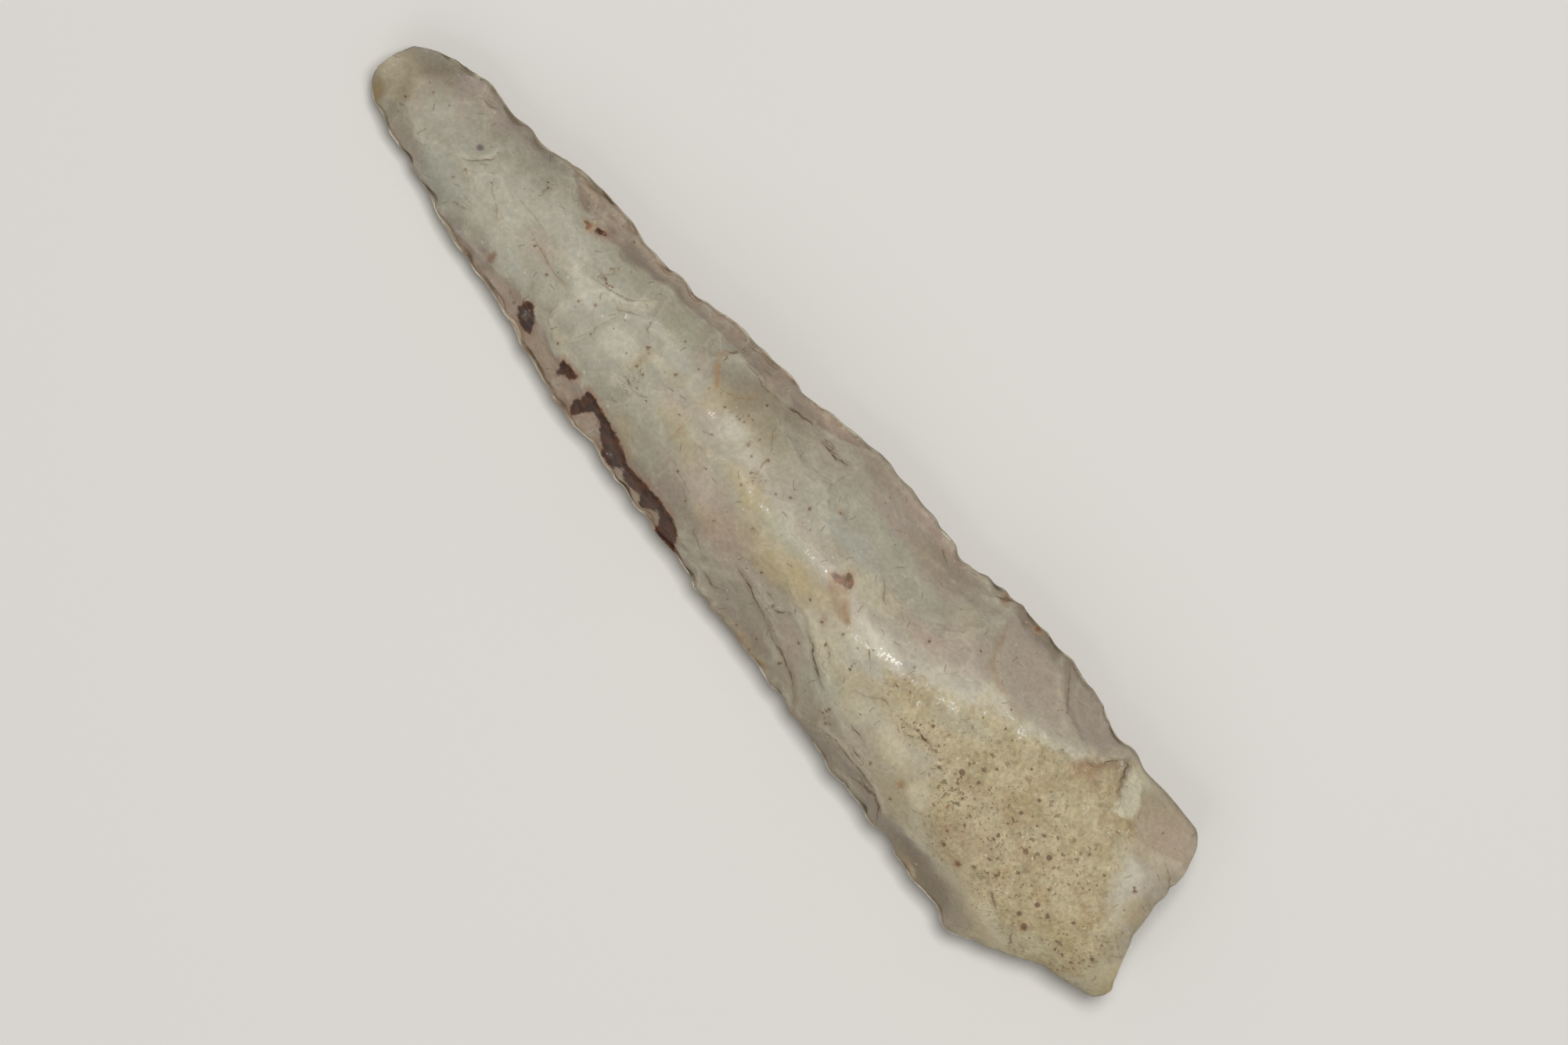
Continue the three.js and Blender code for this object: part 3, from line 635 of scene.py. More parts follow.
# Soft lines: the rims of scars, rubbed pale or stained brown. Each has a colour, a half width, a strength
# and the points that it runs through.
soft_lines = [
    ("#836647", 0.24, 0.5, [(9.9, -5.4), (10.3, -6), (10.7, -6.6), (11, -7.3)]),
    ("#8d704d", 0.3, 0.5, [(12.6, -5.3), (12.3, -6), (11.8, -6.6), (11.4, -7.3)]),
    ("#cfc5ac", 0.14, 0.8, [(10.9, -6.7), (11.2, -6.9), (11.6, -7.3), (12.1, -6.9), (12.5, -6.2)]),
    ("#cac3ab", 0.42, 0.85, [(13.3, -5.7), (14.1, -4.95), (15.6, -4.3), (17.4, -3.75)]),
    ("#c2b9a0", 0.3, 0.6, [(17.4, -3.7), (19, -3.5), (20.6, -3.7)]),
    ("#8b7152", 0.32, 0.5, [(20.6, -3.9), (21.6, -4.3), (22.4, -4.9), (22.9, -5.6), (23.3, -6.5)]),
    ("#8f7a5f", 0.2, 0.4, [(23.2, -6.3), (23.8, -7.2), (24.2, -8.4)]),
    ("#7e6d5a", 0.22, 0.6, [(14.3, -6), (16.4, -6.5), (17.9, -7.6), (18.7, -8.6), (19.1, -9)]),
    ("#c0b59d", 0.22, 0.5, [(14.8, -5.6), (16.8, -6.1), (18.4, -7.3), (19.4, -8.6)]),
    ("#98774d", 0.22, 0.8, [(48.4, -2.4), (49, -2.9), (49.5, -3.3), (49.9, -3.9), (50, -4.4)]),
    ("#94764c", 0.2, 0.6, [(46.4, -3.9), (46.9, -3.2), (47.6, -2.9)]),
    ("#8e714b", 0.2, 0.25, [(53, 0.9), (53.2, 0.2), (53.3, -0.6)]),
    ("#917858", 0.16, 0.4, [(60, 0.95), (61.2, 0.95), (62.2, 0.85), (63.3, 0.6)]),
    ("#c6bfab", 0.3, 0.7, [(55.9, -2.6), (56.5, -1.9), (57.4, -1.3), (58.6, -1)]),
    ("#c3bdaa", 0.25, 0.6, [(70.3, -1.5), (70.4, -0.7), (71, 0.1), (71.8, 0.8)]),
    ("#a68959", 0.22, 0.5, [(6.9, -4), (7.6, -4.5), (8.3, -4.9)]),
    ("#c1b8a3", 0.25, 0.5, [(28.2, 5.6), (29.6, 5), (31, 4.3), (32.4, 3.6), (34, 3.2)]),
    ("#857867", 0.25, 0.5, [(28.6, 5), (30, 4.4), (31.4, 3.7), (32.6, 3.1)]),
    ("#7c6a55", 0.18, 0.55, [(28.2, 7.8), (29.2, 6.9), (30, 6.35), (31.2, 5.95), (32.6, 5.6), (34, 5.25)]),
    ("#7c6a55", 0.16, 0.45, [(34, 5.25), (35.2, 5.05), (36.5, 4.7), (37.6, 4.3), (38.6, 4.05)]),
    ("#c5bba4", 0.2, 0.6, [(19.3, 7.3), (21, 6.8), (23, 6.6), (25, 6.6), (26.5, 6.9)]),
    ("#807266", 0.3, 0.5, [(19.2, 7.9), (21, 7.4), (23.2, 7.3), (25.2, 7.4), (26.8, 7.8)]),
    ("#c1b7a0", 0.2, 0.4, [(24.3, -8.3), (25.4, -7.5), (26.8, -6.7), (28.4, -6.2), (30.5, -6.1)]),
    ("#9c8762", 0.3, 0.4, [(15, 5.9), (16.4, 5.6), (17.6, 5.3)]),
]
uneven_wear = np.clip(0.75 + cloud(places, 0.8, 2, 61.0), 0.15, 1)
for colour, half_width, strength, points in soft_lines:
    away = from_line(points, x + warp_x * 0.4, y + warp_y * 0.4)[0]
    paint(marks, colour, np.exp(-((away / half_width) ** 2)) * strength * uneven_wear * upper)

# Dark brown iron-stained inclusions along the plus margin, which close again part way down the side.
inclusion_outlines = [
    [(40.6, 7.4), (41.6, 7.5), (43.6, 7.2), (44, 6.5), (44.3, 6), (45.1, 5.8), (45.1, 5.45), (44.2, 5.5),
     (43.2, 5.7), (42.5, 6.1), (42.1, 6.8), (41.4, 7.1)],
    [(44.9, 6.1), (45.2, 6.3), (45.6, 6.55), (46, 6.5), (46.3, 6.1), (47.2, 6.3), (48, 6.2), (48.5, 5.8),
     (48.9, 6.3), (49.4, 6.45), (50.1, 6.3), (50.6, 5.9), (51.3, 5.5), (51.8, 5), (52.7, 4.85), (53.2, 5.8),
     (53.5, 6.2), (53.9, 5.9), (54.1, 5.3), (53.8, 5), (53.9, 4.4), (53.2, 4.3), (52.2, 4.5), (51, 4.7),
     (50, 5), (49, 5.3), (48.3, 5.55), (46.5, 5.45), (44.9, 5.45)],
    [(55.1, 4.4), (55.3, 4.8), (55.9, 4.8), (56.2, 5.25), (56.4, 4.8), (56.6, 4.3), (55.9, 4.2),
     (55.2, 4.25)],
    [(59.6, 4.8), (60.2, 4.85), (60.9, 4.7), (61.3, 4.3), (61.4, 3.8), (61, 3.5), (60.5, 3.6), (60, 4),
     (59.7, 4.4)],
    [(61.2, -3.45), (61.4, -3.2), (61.8, -3.05), (62.05, -2.95), (61.95, -3.25), (61.5, -3.5)],
]
most_wobble = 0.14
wobble_x = x + cloud(places, 0.7, 2, 41.0) * most_wobble
wobble_y = y + cloud(places, 0.7, 2, 47.0) * most_wobble
inclusion = np.max([inside_of(o, wobble_x, wobble_y) for o in inclusion_outlines], axis=0)
inclusion += 0.08 - 0.7 * np.clip(2.2 - z + 2 * warp_x, 0, None)

# Iron spots: the large ones as irregular patches of overlapping rounds, along, across and a radius.
rust_rounds = [
    (32.8, -0.8, 0.4), (33.15, -0.6, 0.34), (33.4, -0.35, 0.26), (33, -1.1, 0.24), (33.75, -0.3, 0.14),
    (32.5, -0.65, 0.16), (62.4, -2.98, 0.2), (62.8, -2.93, 0.12), (24.9, -8.2, 0.25), (21.9, -8.6, 0.2),
    (7.3, 5.2, 0.2), (13.5, 5.8, 0.16),
]
rust = np.max([r - np.hypot(wobble_x - a, wobble_y - b) for a, b, r in rust_rounds], axis=0) - 3 * lower

# The small ones are dots, each drawn round its own middle, which is given along and across by radius.
dots = {
    0.21: [(18.05, 1.62)],
    0.2: [(9.87, 0.85)],
    0.17: [(8.25, 4.82)],
    0.16: [(7.9, 3.5), (6.88, 3.5)],
    0.15: [(7.3, 5.2), (13.4, 0.35)],
    0.14: [(2.65, 3.05), (15.1, 5.7), (19.3, 2.6)],
    0.13: [(4.35, -2.1), (5.4, 2.4)],
    0.12: [
        (13.25, -1.15), (11.2, 0.12), (13.25, 2.5), (13.4, 5.8), (16.7, 2.7), (16.8, 1.2), (21.7, 1.1),
        (38.2, -2), (57.95, 0.2), (27, 5.75),
    ],
    0.11: [(8.2, 2.25), (18.4, -2.5), (16.7, -0.3)],
    0.1: [
        (4.55, -2.2), (4.8, 4.5), (13.25, 3.1), (12.35, 4), (17.7, 2.3), (8.3, -1.35), (42.45, -1.95),
        (45.5, -2.4), (53.5, -0.7), (26.4, 6.5), (19.7, 6.5), (31.55, 6.4), (33.8, 6.45),
    ],
    0.09: [(4.15, 4.4), (15.2, -2.1), (24.4, 0.8), (63.7, 0.65), (23.4, -4.6), (39.65, 1.8)],
    0.08: [
        (5.85, 4.85), (15.7, 4.9), (20.4, 1.7), (26.2, -2.4), (6.55, -1.2), (44.75, 1.62), (45.35, -4.3),
        (53.05, 0.7), (61.7, 1.35), (59.7, -4.6), (36.6, -3.4), (30.5, 3.1), (31.8, 2.3), (41.7, 3.45),
        (45.85, 3.15), (50.9, -0.93), (31.75, 4.4), (34.75, 4.15), (33.5, 1.9), (76.2, -0.75),
        (56.7, 1.7), (77.2, 0.9), (58.6, -1.35),
    ],
    0.07: [
        (44, 4.05), (47.1, -2.05), (61, -4.7), (28.2, 2.9), (22.4, 5.95), (25.5, -0.5), (68.9, 0.2),
        (31.5, 6.2), (42.1, -0.3), (42.6, -0.5), (46.1, -2.3), (40.4, -0.9), (39.6, -1.5), (52.35, 0.78),
        (46.2, -0.22), (30.35, 1.75), (28.4, 2.4), (37, 3.25), (70.9, 1.95), (58.9, 0.85), (57.7, 3.8),
        (61.8, 4.3), (58.9, -2.6), (66.2, -2.5),
    ],
    0.06: [
        (6.05, -6.1), (74.6, 1.3), (76.9, -1), (41.5, -0.9), (42.3, -0.8), (43.4, -1.3), (44.2, -1.6),
        (43.9, -2.4), (45.6, -2.9), (48.7, 0.65), (51.9, 1.65), (50.85, 1.75), (53.2, -0.48),
        (46.75, 0.1), (35.4, 6.85), (27.1, 6.2), (62.5, 4), (70.7, 0.95), (58.2, -1.5), (58.95, -1.5),
        (59.2, -2.2),
    ],
    0.05: [(42.4, 0.5), (50.2, -2.35), (52.2, -2.85), (66.45, -2.75)],
}
dot_reach = 0.5
to_dot = np.full((count, 3), -9.0)
for radius, along, across in ((r, *middle) for r, middles in dots.items() for middle in middles):
    away = np.hypot(x - along, y - across)
    close = (away < dot_reach) & (upper > 0.5)
    close &= away < np.hypot(to_dot[:, 0], to_dot[:, 1])
    to_dot[close] = np.stack([x - along, y - across, np.full(count, radius)], 1)[close]

# Cracks and hinge lines: fine lines where a flake ended in a step or the stone has split. Each has a
# strength, from faint to dark, and the points that it runs through.
crack_lines = [
    (0.8, [(3.1, -4.1), (3.6, -4.6), (4.2, -4.8)]),
    (1.5, [(9.9, -5.5), (10.2, -5.6), (10.3, -6), (10.6, -6.2), (10.6, -6.6), (10.9, -6.9), (10.9, -7.2),
           (11.2, -7.4), (11.3, -7.8)]),
    (0.8, [(12.6, -5.6), (12.3, -6), (12.2, -6.4), (11.9, -6.7), (11.7, -7.2), (11.3, -7.6)]),
    (0.7, [(6.6, 7), (7.2, 6.4), (7.8, 5.8)]),
    (0.8, [(9.2, 5.9), (9.8, 5.6), (10.5, 5.4), (11, 5.1)]),
    (1.2, [(20.2, 2.3), (21.2, 2.05), (22.2, 2.1), (22.9, 2.4)]),
    (0.5, [(23.9, 2.9), (24.3, 2.6), (25.2, 2.5), (25.7, 2.9), (26.3, 3.4), (27.4, 3.5)]),
    (0.7, [(23.7, 5.4), (24.5, 5.3), (25.4, 5.3)]),
    (1.1, [(28, 5.3), (29.2, 4.8), (30.2, 4.4), (31.1, 3.8), (32.2, 3.3)]),
    (1.3, [(18.7, 8.5), (19.2, 8), (19.8, 7.5), (20.6, 7.2), (21.3, 7.25), (22.1, 7.4), (23, 7.7)]),
    (0.8, [(19.3, 7.5), (21, 7), (23, 6.8), (25, 6.8), (26.5, 7.1), (27.2, 7.5)]),
    (0.7, [(23, 6.3), (23.4, 6.35), (23.9, 6.3)]),
    (0.9, [(28.6, 7.5), (29.4, 6.8), (30.5, 6.2), (31.5, 5.9), (33, 5.6), (34.4, 5.3)]),
    (1.1, [(34.2, 5.3), (35, 5), (36.2, 4.7), (37.4, 4.4), (38.6, 4.2)]),
    (1.2, [(38.5, -6.3), (38.8, -5.9), (39.7, -5.55), (40.6, -5.6), (41.5, -5.55)]),
    (0.6, [(39.4, -5.8), (40.6, -5.95), (41.8, -5.7)]),
    (1.8, [(42, -5.95), (42.8, -5.8), (43.6, -5.6), (44.6, -5.25)]),
    (0.6, [(44.2, -5.4), (45.2, -5.1), (46.6, -4.95), (47.4, -5.1), (48.8, -5.15), (49.4, -5.1)]),
    (0.6, [(46.2, -5.7), (47, -5.8), (47.8, -5.7)]),
    (1.4, [(49.4, -5.3), (49.55, -4.9), (49.6, -4.5)]),
    (1.2, [(24.3, -8.7), (24.9, -8.1), (25.8, -7.75)]),
    (0.6, [(15.8, -6.3), (16.9, -6.8), (17.8, -7.8), (18.8, -8.9)]),
    (0.6, [(29.2, -6.8), (30, -7), (30.6, -7.4)]),
    (0.5, [(29.5, -1.8), (30.3, -1.9), (31, -2.5), (31.6, -2.9)]),
    (0.6, [(27.6, 1.65), (28.1, 1.3), (28.7, 0.9)]),
    (0.6, [(29.5, 3.7), (29.8, 3.4), (30.2, 3.2)]),
    (0.9, [(33.8, 3.7), (34.2, 4.1), (34.6, 4.3)]),
    (0.5, [(35, 3.9), (36, 3.8)]),
    (0.8, [(37.8, 6.1), (38.3, 6.5), (39, 6.3), (40, 6.2)]),
    (0.5, [(40.5, 5.5), (42, 5.1), (42.3, 4.6)]),
    (0.25, [(42.6, 5.2), (43.6, 4.3), (45, 3.4), (46.5, 2.95), (48.4, 2.85)]),
    (0.25, [(45, 1.2), (46, 1), (47, 1.2)]),
    (0.3, [(47.9, 1.9), (48, 1.2), (47.9, 0.5)]),
    (0.4, [(42.4, -1), (42.6, -2)]),
    (0.6, [(43, -2.8), (43.3, -3), (43.6, -3.4)]),
    (0.3, [(46.3, -4), (46.9, -3.2), (47.8, -2.8), (48.7, -2.6)]),
    (0.8, [(51.9, 1.9), (52.5, 1.8), (53.5, 1.7)]),
    (0.25, [(52.6, 2.6), (53.3, 2.4)]),
    (0.5, [(52.3, 1.2), (52.6, 0.8), (53, 0.5)]),
    (0.5, [(54.2, -1.3), (54.7, -1.5), (54.9, -2.2)]),
    (0.5, [(55.8, -3.6), (55.9, -2.8), (56.6, -2), (57.6, -1.4), (58.7, -1.2), (59.6, -0.9), (60, -0.3)]),
    (0.4, [(55.2, -2), (55.8, -1.5), (56.6, -0.9), (57.2, -0.5)]),
    (0.4, [(58.2, -1.3), (59.3, -1.5), (58.8, -2.2), (59.2, -2.7)]),
    (0.35, [(56.7, 0.2), (56.8, 1), (56.7, 1.8)]),
    (0.3, [(59.7, 1.9), (59.6, 2.8), (60.2, 3.3)]),
    (0.4, [(60, 0.95), (61.2, 0.95), (62.2, 0.8), (63.3, 0.6), (64, 0.5), (65, 0.1)]),
    (0.25, [(63.3, -0.2), (65, -0.5), (67, -0.6), (68.5, -0.7)]),
    (0.3, [(66.5, 1.6), (67.6, 1), (68.6, 0.4), (69.1, -0.3)]),
    (0.7, [(70, -1.7), (70.1, -0.9), (70.6, -0.1), (71.5, 0.6), (72, 1)]),
    (0.6, [(68.4, 2.4), (69, 2.8), (69.8, 3.1)]),
    (0.4, [(68.6, 2.1), (69.4, 2.2)]),
    (0.8, [(72.5, -3.3), (73, -3.1), (73.6, -3)]),
    (0.5, [(66.1, -1.6), (66.2, -2.6)]),
    (0.4, [(57.8, 4.1), (58.6, 3.7), (59.4, 3.3)]),
]
crack_side = np.zeros(count)
crack_near = np.zeros(count)
nearest = np.full(count, np.inf)
crack_reach = 0.6
for strength, points in crack_lines:
    away, side = from_line(points, wobble_x, wobble_y)
    length = math.dist(points[0], points[-1])
    from_end = np.minimum(*(np.hypot(wobble_x - a, wobble_y - b) for a, b in (points[0], points[-1])))
    fades = np.clip(1.6 - 1.6 * away / crack_reach, 0, 1) * np.clip(from_end / (0.35 * length), 0.0, 1)
    closer = away < nearest
    nearest[closer] = away[closer]
    crack_side[closer] = (side * np.minimum(away, crack_reach))[closer]
    crack_near[closer] = (strength * fades)[closer]
crack_near *= upper

# Clusters of painted glints, white flecks that stand for highlights on the crest and on other high spots:
# along, across, half length, half width, turn and how dense.
glints = [
    (17.6, -2.9, 0.5, 0.5, 0, 0.9), (19.2, -3, 1.3, 0.3, 0, 0.6), (20.2, -2.1, 0.35, 0.2, 20, 0.8),
    (21.9, -0.7, 0.7, 0.35, 15, 0.9), (22.9, -0.3, 0.6, 0.3, 15, 0.8), (23.6, 0.8, 0.3, 0.3, 0, 0.6),
    (25, 0.3, 1.2, 0.3, 4, 0.7), (27, 0.4, 1.6, 0.45, 8, 1), (29.2, 0.9, 1.6, 0.35, 6, 0.9),
    (34.3, -0.1, 0.9, 0.35, 0, 0.6), (35.8, 0.1, 1.1, 0.3, 0, 0.45), (37.6, 0.2, 0.8, 0.3, 0, 0.4),
    (39.9, 0.2, 1, 0.3, 0, 0.8), (41.4, 0.2, 0.7, 0.3, 0, 0.6), (43.5, -0.6, 1, 0.3, -10, 0.3),
    (47.3, -1, 0.6, 0.3, 0, 0.7), (56.1, -0.9, 0.35, 0.25, 30, 0.8), (17, -1.4, 0.6, 0.5, 0, 0.35),
    (17.4, -0.3, 0.5, 0.3, 0, 0.35), (13, -1.7, 0.8, 0.4, 0, 0.3), (10.7, -3, 0.5, 0.3, 0, 0.3),
    (15.5, 8.4, 1.2, 0.5, 0, 0.3), (12.6, -5.6, 0.4, 0.3, 60, 0.5), (49.9, 5.9, 0.5, 0.4, 0, 0.4),
    (60.7, 4.1, 0.4, 0.4, 0, 0.4),
]
glint_clusters = np.max([bowls([row], bent_x, bent_y) for row in glints], axis=0) * upper


def store(name, kind, part, values):
    """Keeps a number, a vector or a colour for each point of the mesh, for the material to read."""
    kept = mesh.attributes.new(name, kind, "POINT")
    kept.data.foreach_set(part, values.astype(np.float32).ravel())


numbers = {
    "cortex": cortex, "bevel": bevel, "inclusion": inclusion, "rust": rust, "crack_side": crack_side,
    "crack_near": crack_near, "stands_out": stands_out, "glint_clusters": glint_clusters,
    "big_crease": big_crease + 9 * lower, "low_crease": low_crease + 9 * lower,
    "pushed_crease": pushed_crease + 9 * lower,
}
for name, values in numbers.items():
    store(name, "FLOAT", "value", np.clip(values, -9, 9))
store("to_dot", "FLOAT_VECTOR", "vector", to_dot)
store("tint", "FLOAT_COLOR", "color", tint)
store("marks", "FLOAT_COLOR", "color", marks)


# Patinated flint: a fine silica stone whose skin has weathered to an opaque grey cream. It gives a soft
# sheen, with glints painted as white flecks on the rolled ridges, and goes matt and granular where the
# chalky rind is left.
patina = bpy.data.materials.new("patinated flint")
patina.use_nodes = True
tree = patina.node_tree
tree.nodes.clear()


def add(kind, settings, *inputs, **named):
    """Adds a shader node with its own settings. Its inputs are values, outputs or whole nodes, which stand
    for their first output in use. They come in the order of the node's inputs in use, or by name."""
    made = tree.nodes.new("ShaderNode" + kind)
    for name, value in settings.items():
        setattr(made, name, value)
    in_order = zip([socket for socket in made.inputs if socket.enabled], inputs)
    by_name = ((made.inputs[name.replace("_", " ")], value) for name, value in named.items())
    for socket, value in (*in_order, *by_name):
        if isinstance(value, bpy.types.Node):
            value = next(output for output in value.outputs if output.enabled)
        if isinstance(value, bpy.types.NodeSocket):
            tree.links.new(value, socket)
        else:
            socket.default_value = value
    return made


def share(*factors):
    """All the factors multiplied together. One that is written (value, low, high) is a smooth step from 0
    to 1 while the value goes from low to high, and two more numbers say what it steps from and to."""
    smooth = {"interpolation_type": "SMOOTHSTEP"}
    steps = [add("MapRange", smooth, *f) if isinstance(f, tuple) else f for f in factors]
    result = steps[0]
    for step in steps[1:]:
        result = add("Math", {"operation": "MULTIPLY"}, result, step)
    return result


def patches(size, seed, low, high, most=1.0, least=0.0, detail=3.0, roughness=0.5):
    """Soft patches of about this size in millimetres. The higher low is, the fewer there are."""
    lumps = add("TexNoise", {"noise_dimensions": "4D"}, in_mm, seed, 1 / size, detail, roughness)
    return share((lumps, low, high, least, most))


def jitter(value, size, amount, seed=0.0):
    """The value moved up or down by up to half of amount, in lumps of this size."""
    lumps = add("TexNoise", {"noise_dimensions": "4D"}, in_mm, seed, 1 / size, 3.0, 0.5)
    swing = add("Math", {"operation": "SUBTRACT"}, lumps, 0.5)
    return add("Math", {"operation": "ADD"}, value, share(swing, amount))


def mottled(first, second, *patchwork, **fineness):
    """The first colour with patches of the second."""
    cover = patches(*patchwork, **fineness)
    return add("Mix", {"data_type": "RGBA"}, cover, linear(first), linear(second))


def lay(over, *factors):
    """Lays a colour over the skin's colour so far, as far as the share of the factors says."""
    global skin_colour
    over = linear(over) if isinstance(over, str) else over
    skin_colour = add("Mix", {"data_type": "RGBA"}, share(*factors), skin_colour, over)


def shade(*factors):
    """Makes the skin's colour lighter or, below zero, darker by the share of the factors."""
    global skin_colour
    factor = add("Math", {"operation": "ADD"}, share(*factors), 1.0)
    skin_colour = add("Mix", {"data_type": "RGBA", "blend_type": "MULTIPLY"}, 1.0, skin_colour, factor)


def spots(spacing, largest, seed, rare, ragged):
    """Ragged spots at random, as a share. The rarest are the largest, and some are faint."""
    moved = add("VectorMath", {"operation": "ADD"}, in_mm, (seed, -seed, seed))
    cells = add("TexVoronoi", {}, moved, 1 / spacing)
    chance = add("SeparateColor", {}, cells.outputs["Color"])
    away = jitter(share(cells.outputs["Distance"], spacing), 0.12, ragged, seed)
    inside = add("Math", {"operation": "SUBTRACT"}, share((chance.outputs[0], rare, 1, 0, largest)), away)
    return share((inside, -0.03, 0.03), (chance.outputs[1], 0.0, 0.8, 0.35, 1))


place = add("TexCoord", {}).outputs["Object"]
in_mm = add("VectorMath", {"operation": "SCALE"}, place, 1 / mm)
stored = {name: add("Attribute", {"attribute_name": name}).outputs["Fac"] for name in numbers}

# The skin: clouds of cream, rose and green white over the laid tint, from the size of a fingertip down to
# a fine grain.
skin_colour = add("Attribute", {"attribute_name": "tint"}).outputs["Color"]
lay("#aa9e7f", patches(5.0, 1.0, 0.5, 0.68, 0.3))
lay("#9d8c7e", patches(4.0, 2.0, 0.52, 0.7, 0.3))
lay("#aeab99", patches(2.4, 3.0, 0.52, 0.68, 0.35))
lay("#928167", patches(1.5, 4.0, 0.52, 0.68, 0.2, detail=2.0))
lay("#b7b19d", patches(1.1, 5.0, 0.54, 0.7, 0.2, detail=2.0))
lay("#a28c64", patches(0.9, 8.0, 0.64, 0.72, 0.3))

# Wear pales what stands out, and patina darkens what lies low.
lay("#bdb7a2", (stored["stands_out"], 0.005, 0.05, 0, 0.4))
lay("#887968", (stored["stands_out"], -0.05, -0.005, 0.45, 0))

# The pinkish bevels of the bit, paler along the creases between their scars, with painted shadow below the
# step.
pink = share((jitter(stored["bevel"], 0.8, 0.9), -0.25, 0.3))
lay(mottled("#99816b", "#b69d86", 1.4, 9.0, 0.35, 0.65), pink, 0.8)
between = add("Math", {"operation": "ABSOLUTE"}, jitter(stored["pushed_crease"], 0.5, 0.2, 14.0))
lay("#b5a493", pink, (between, 0.05, 0.4, 1, 0), 0.3)
lay("#aa9d8b", pink, patches(2.2, 10.0, 0.5, 0.66), 0.5)
lay("#7d6c5e", pink, patches(0.5, 11.0, 0.52, 0.7), 0.4)
# Painted shadow just below the step down to the bevel.
shadow_below_step = jitter(stored["bevel"], 0.8, 0.3)
lay("#6d5e51", (shadow_below_step, -0.12, 0.12), (shadow_below_step, 0.15, 1.1, 1, 0), 0.35)

# Thin lines of soil and iron in the creases between scars, with a pale rubbed edge beside them, and painted
# light and shade that makes one side of each crease lighter and the other darker.
for name, strength, width in (
    ("low_crease", 0.3, 0.1), ("big_crease", 0.35, 0.2), ("pushed_crease", 0.35, 0.12),
):
    crease = jitter(stored[name], 0.4, 0.1, 3.0)
    line = add("Math", {"operation": "ABSOLUTE"}, crease)
    lay("#b9b19a", (line, width, 3 * width, 1, 0), patches(1.7, 13.0, 0.4, 0.6), 0.3)
    lay("#826f59", (line, 0.0, width, 1, 0), patches(1.3, 12.0, 0.42, 0.6), strength)
    # Painted light and shade: one side of the crease lighter, the other darker.
    shade((crease, -0.04, 0.04, -1, 1), (line, 0.1, 0.9, 1, 0), 0.05)

# The rind: granular tan chalk with pores of 0.2 to 0.4 mm, stained and specked with brown. It thins out
# rather than stops.
rind_edge = jitter(jitter(stored["cortex"], 0.6, 1.8), 1.8, 2.6, 19.0)
rind = share((rind_edge, -1.1, 0.9))
lay(mottled("#a09069", "#b2a481", 1.4, 20.0, 0.35, 0.65, detail=4.0, roughness=0.6), rind, 0.9)
lay("#b5a886", rind, patches(3.0, 21.0, 0.46, 0.6), 0.6)
lay("#a08965", rind, patches(2.0, 22.0, 0.52, 0.64), 0.6)
lay("#b9ac87", rind, patches(0.8, 23.0, 0.52, 0.66), 0.25)

# The marks that were laid one by one: facets, stains and the rims of scars. The pits come over them.
marked = add("Attribute", {"attribute_name": "marks"})
lay(marked.outputs["Color"], marked.outputs["Alpha"])

lay("#8f7854", rind, patches(0.45, 24.0, 0.54, 0.66), 0.3)
plus_side = share((add("SeparateXYZ", {}, in_mm).outputs[1], -4.0, 3.0, 0.35, 1))
crowded = share(patches(2.6, 25.0, 0.36, 0.56), plus_side)
around = share((rind_edge, -1.6, 0.4))
blots = add("TexNoise", {"noise_dimensions": "4D"}, in_mm, 38.0, 1 / 0.7, 3.0, 0.5)
lay("#8a7752", (jitter(blots, 0.25, 0.2), 0.6, 0.7), around, crowded, 0.5)
fine_pit = share(patches(0.22, 26.0, 0.62, 0.67, detail=2.0), around, crowded)
lay("#7a5e3e", fine_pit, 0.6)
pit = share(patches(0.42, 27.0, 0.635, 0.67), rind, (crowded, 0, 1, 0.25, 1))
lay("#6b5238", pit, 0.7)
red_pit = share(patches(0.42, 28.0, 0.66, 0.69), around, patches(3.5, 39.0, 0.48, 0.6))
lay("#8a5a40", red_pit, 0.7)
lay("#cfc6ab", patches(0.35, 32.0, 0.68, 0.74, detail=2.0), around, 0.7)

# Inclusions of brown flint with an orange halo, and iron spots.
halo = jitter(stored["inclusion"], 0.6, 0.5)
lay("#9a7358", (halo, -0.5, 0.0), patches(1.1, 29.0, 0.4, 0.6, 1, 0.2), 0.58)
core = share((jitter(stored["inclusion"], 0.3, 0.35), -0.08, 0.12))
lay(mottled("#321b10", "#54301d", 0.7, 30.0, 0.4, 0.6), core, 0.95)
lay("#8b7e72", core, patches(0.16, 31.0, 0.7, 0.76), 0.25)
rusty = jitter(jitter(stored["rust"], 0.3, 0.3), 0.8, 0.4, 44.0)
lay("#a68964", (rusty, -0.45, 0.05, 0, 0.5))
lay(mottled("#7f5436", "#56402c", 0.5, 34.0, 0.4, 0.6), (rusty, -0.12, 0.08, 0, 0.85))

# A fine grain runs over all of it, stronger on the rind. The flint's own is too fine to show, so it is
# drawn with lumps of 0.3 and 0.8 mm.
rough_share = share((rind, 0.0, 1.0, 0.6, 1.0))
shade(patches(0.8, 42.0, 0.3, 0.7, 0.1, -0.1, 5.0, 0.65), rough_share)
shade(patches(0.3, 6.0, 0.3, 0.7, 0.16, -0.16, 3.0, 0.65), rough_share)

# Dark dots, the largest of them round and crisp.
to_middle = add("Attribute", {"attribute_name": "to_dot"}).outputs["Vector"]
x_away, y_away, dot_radius = add("SeparateXYZ", {}, to_middle).outputs
from_dot = add("VectorMath", {"operation": "LENGTH"}, add("CombineXYZ", {}, x_away, y_away))
round_dot = add("Math", {"operation": "SUBTRACT"}, dot_radius, from_dot)
in_dot = jitter(round_dot, 0.22, share((dot_radius, 0.165, 0.17, 0.4, 0.08)), 35.0)
lay("#937855", (in_dot, -0.2, 0.02, 0, 0.35))
lay(mottled("#61523d", "#6b4f3c", 2.0, 36.0, 0.45, 0.55), (in_dot, -0.05, 0.05), 0.85)

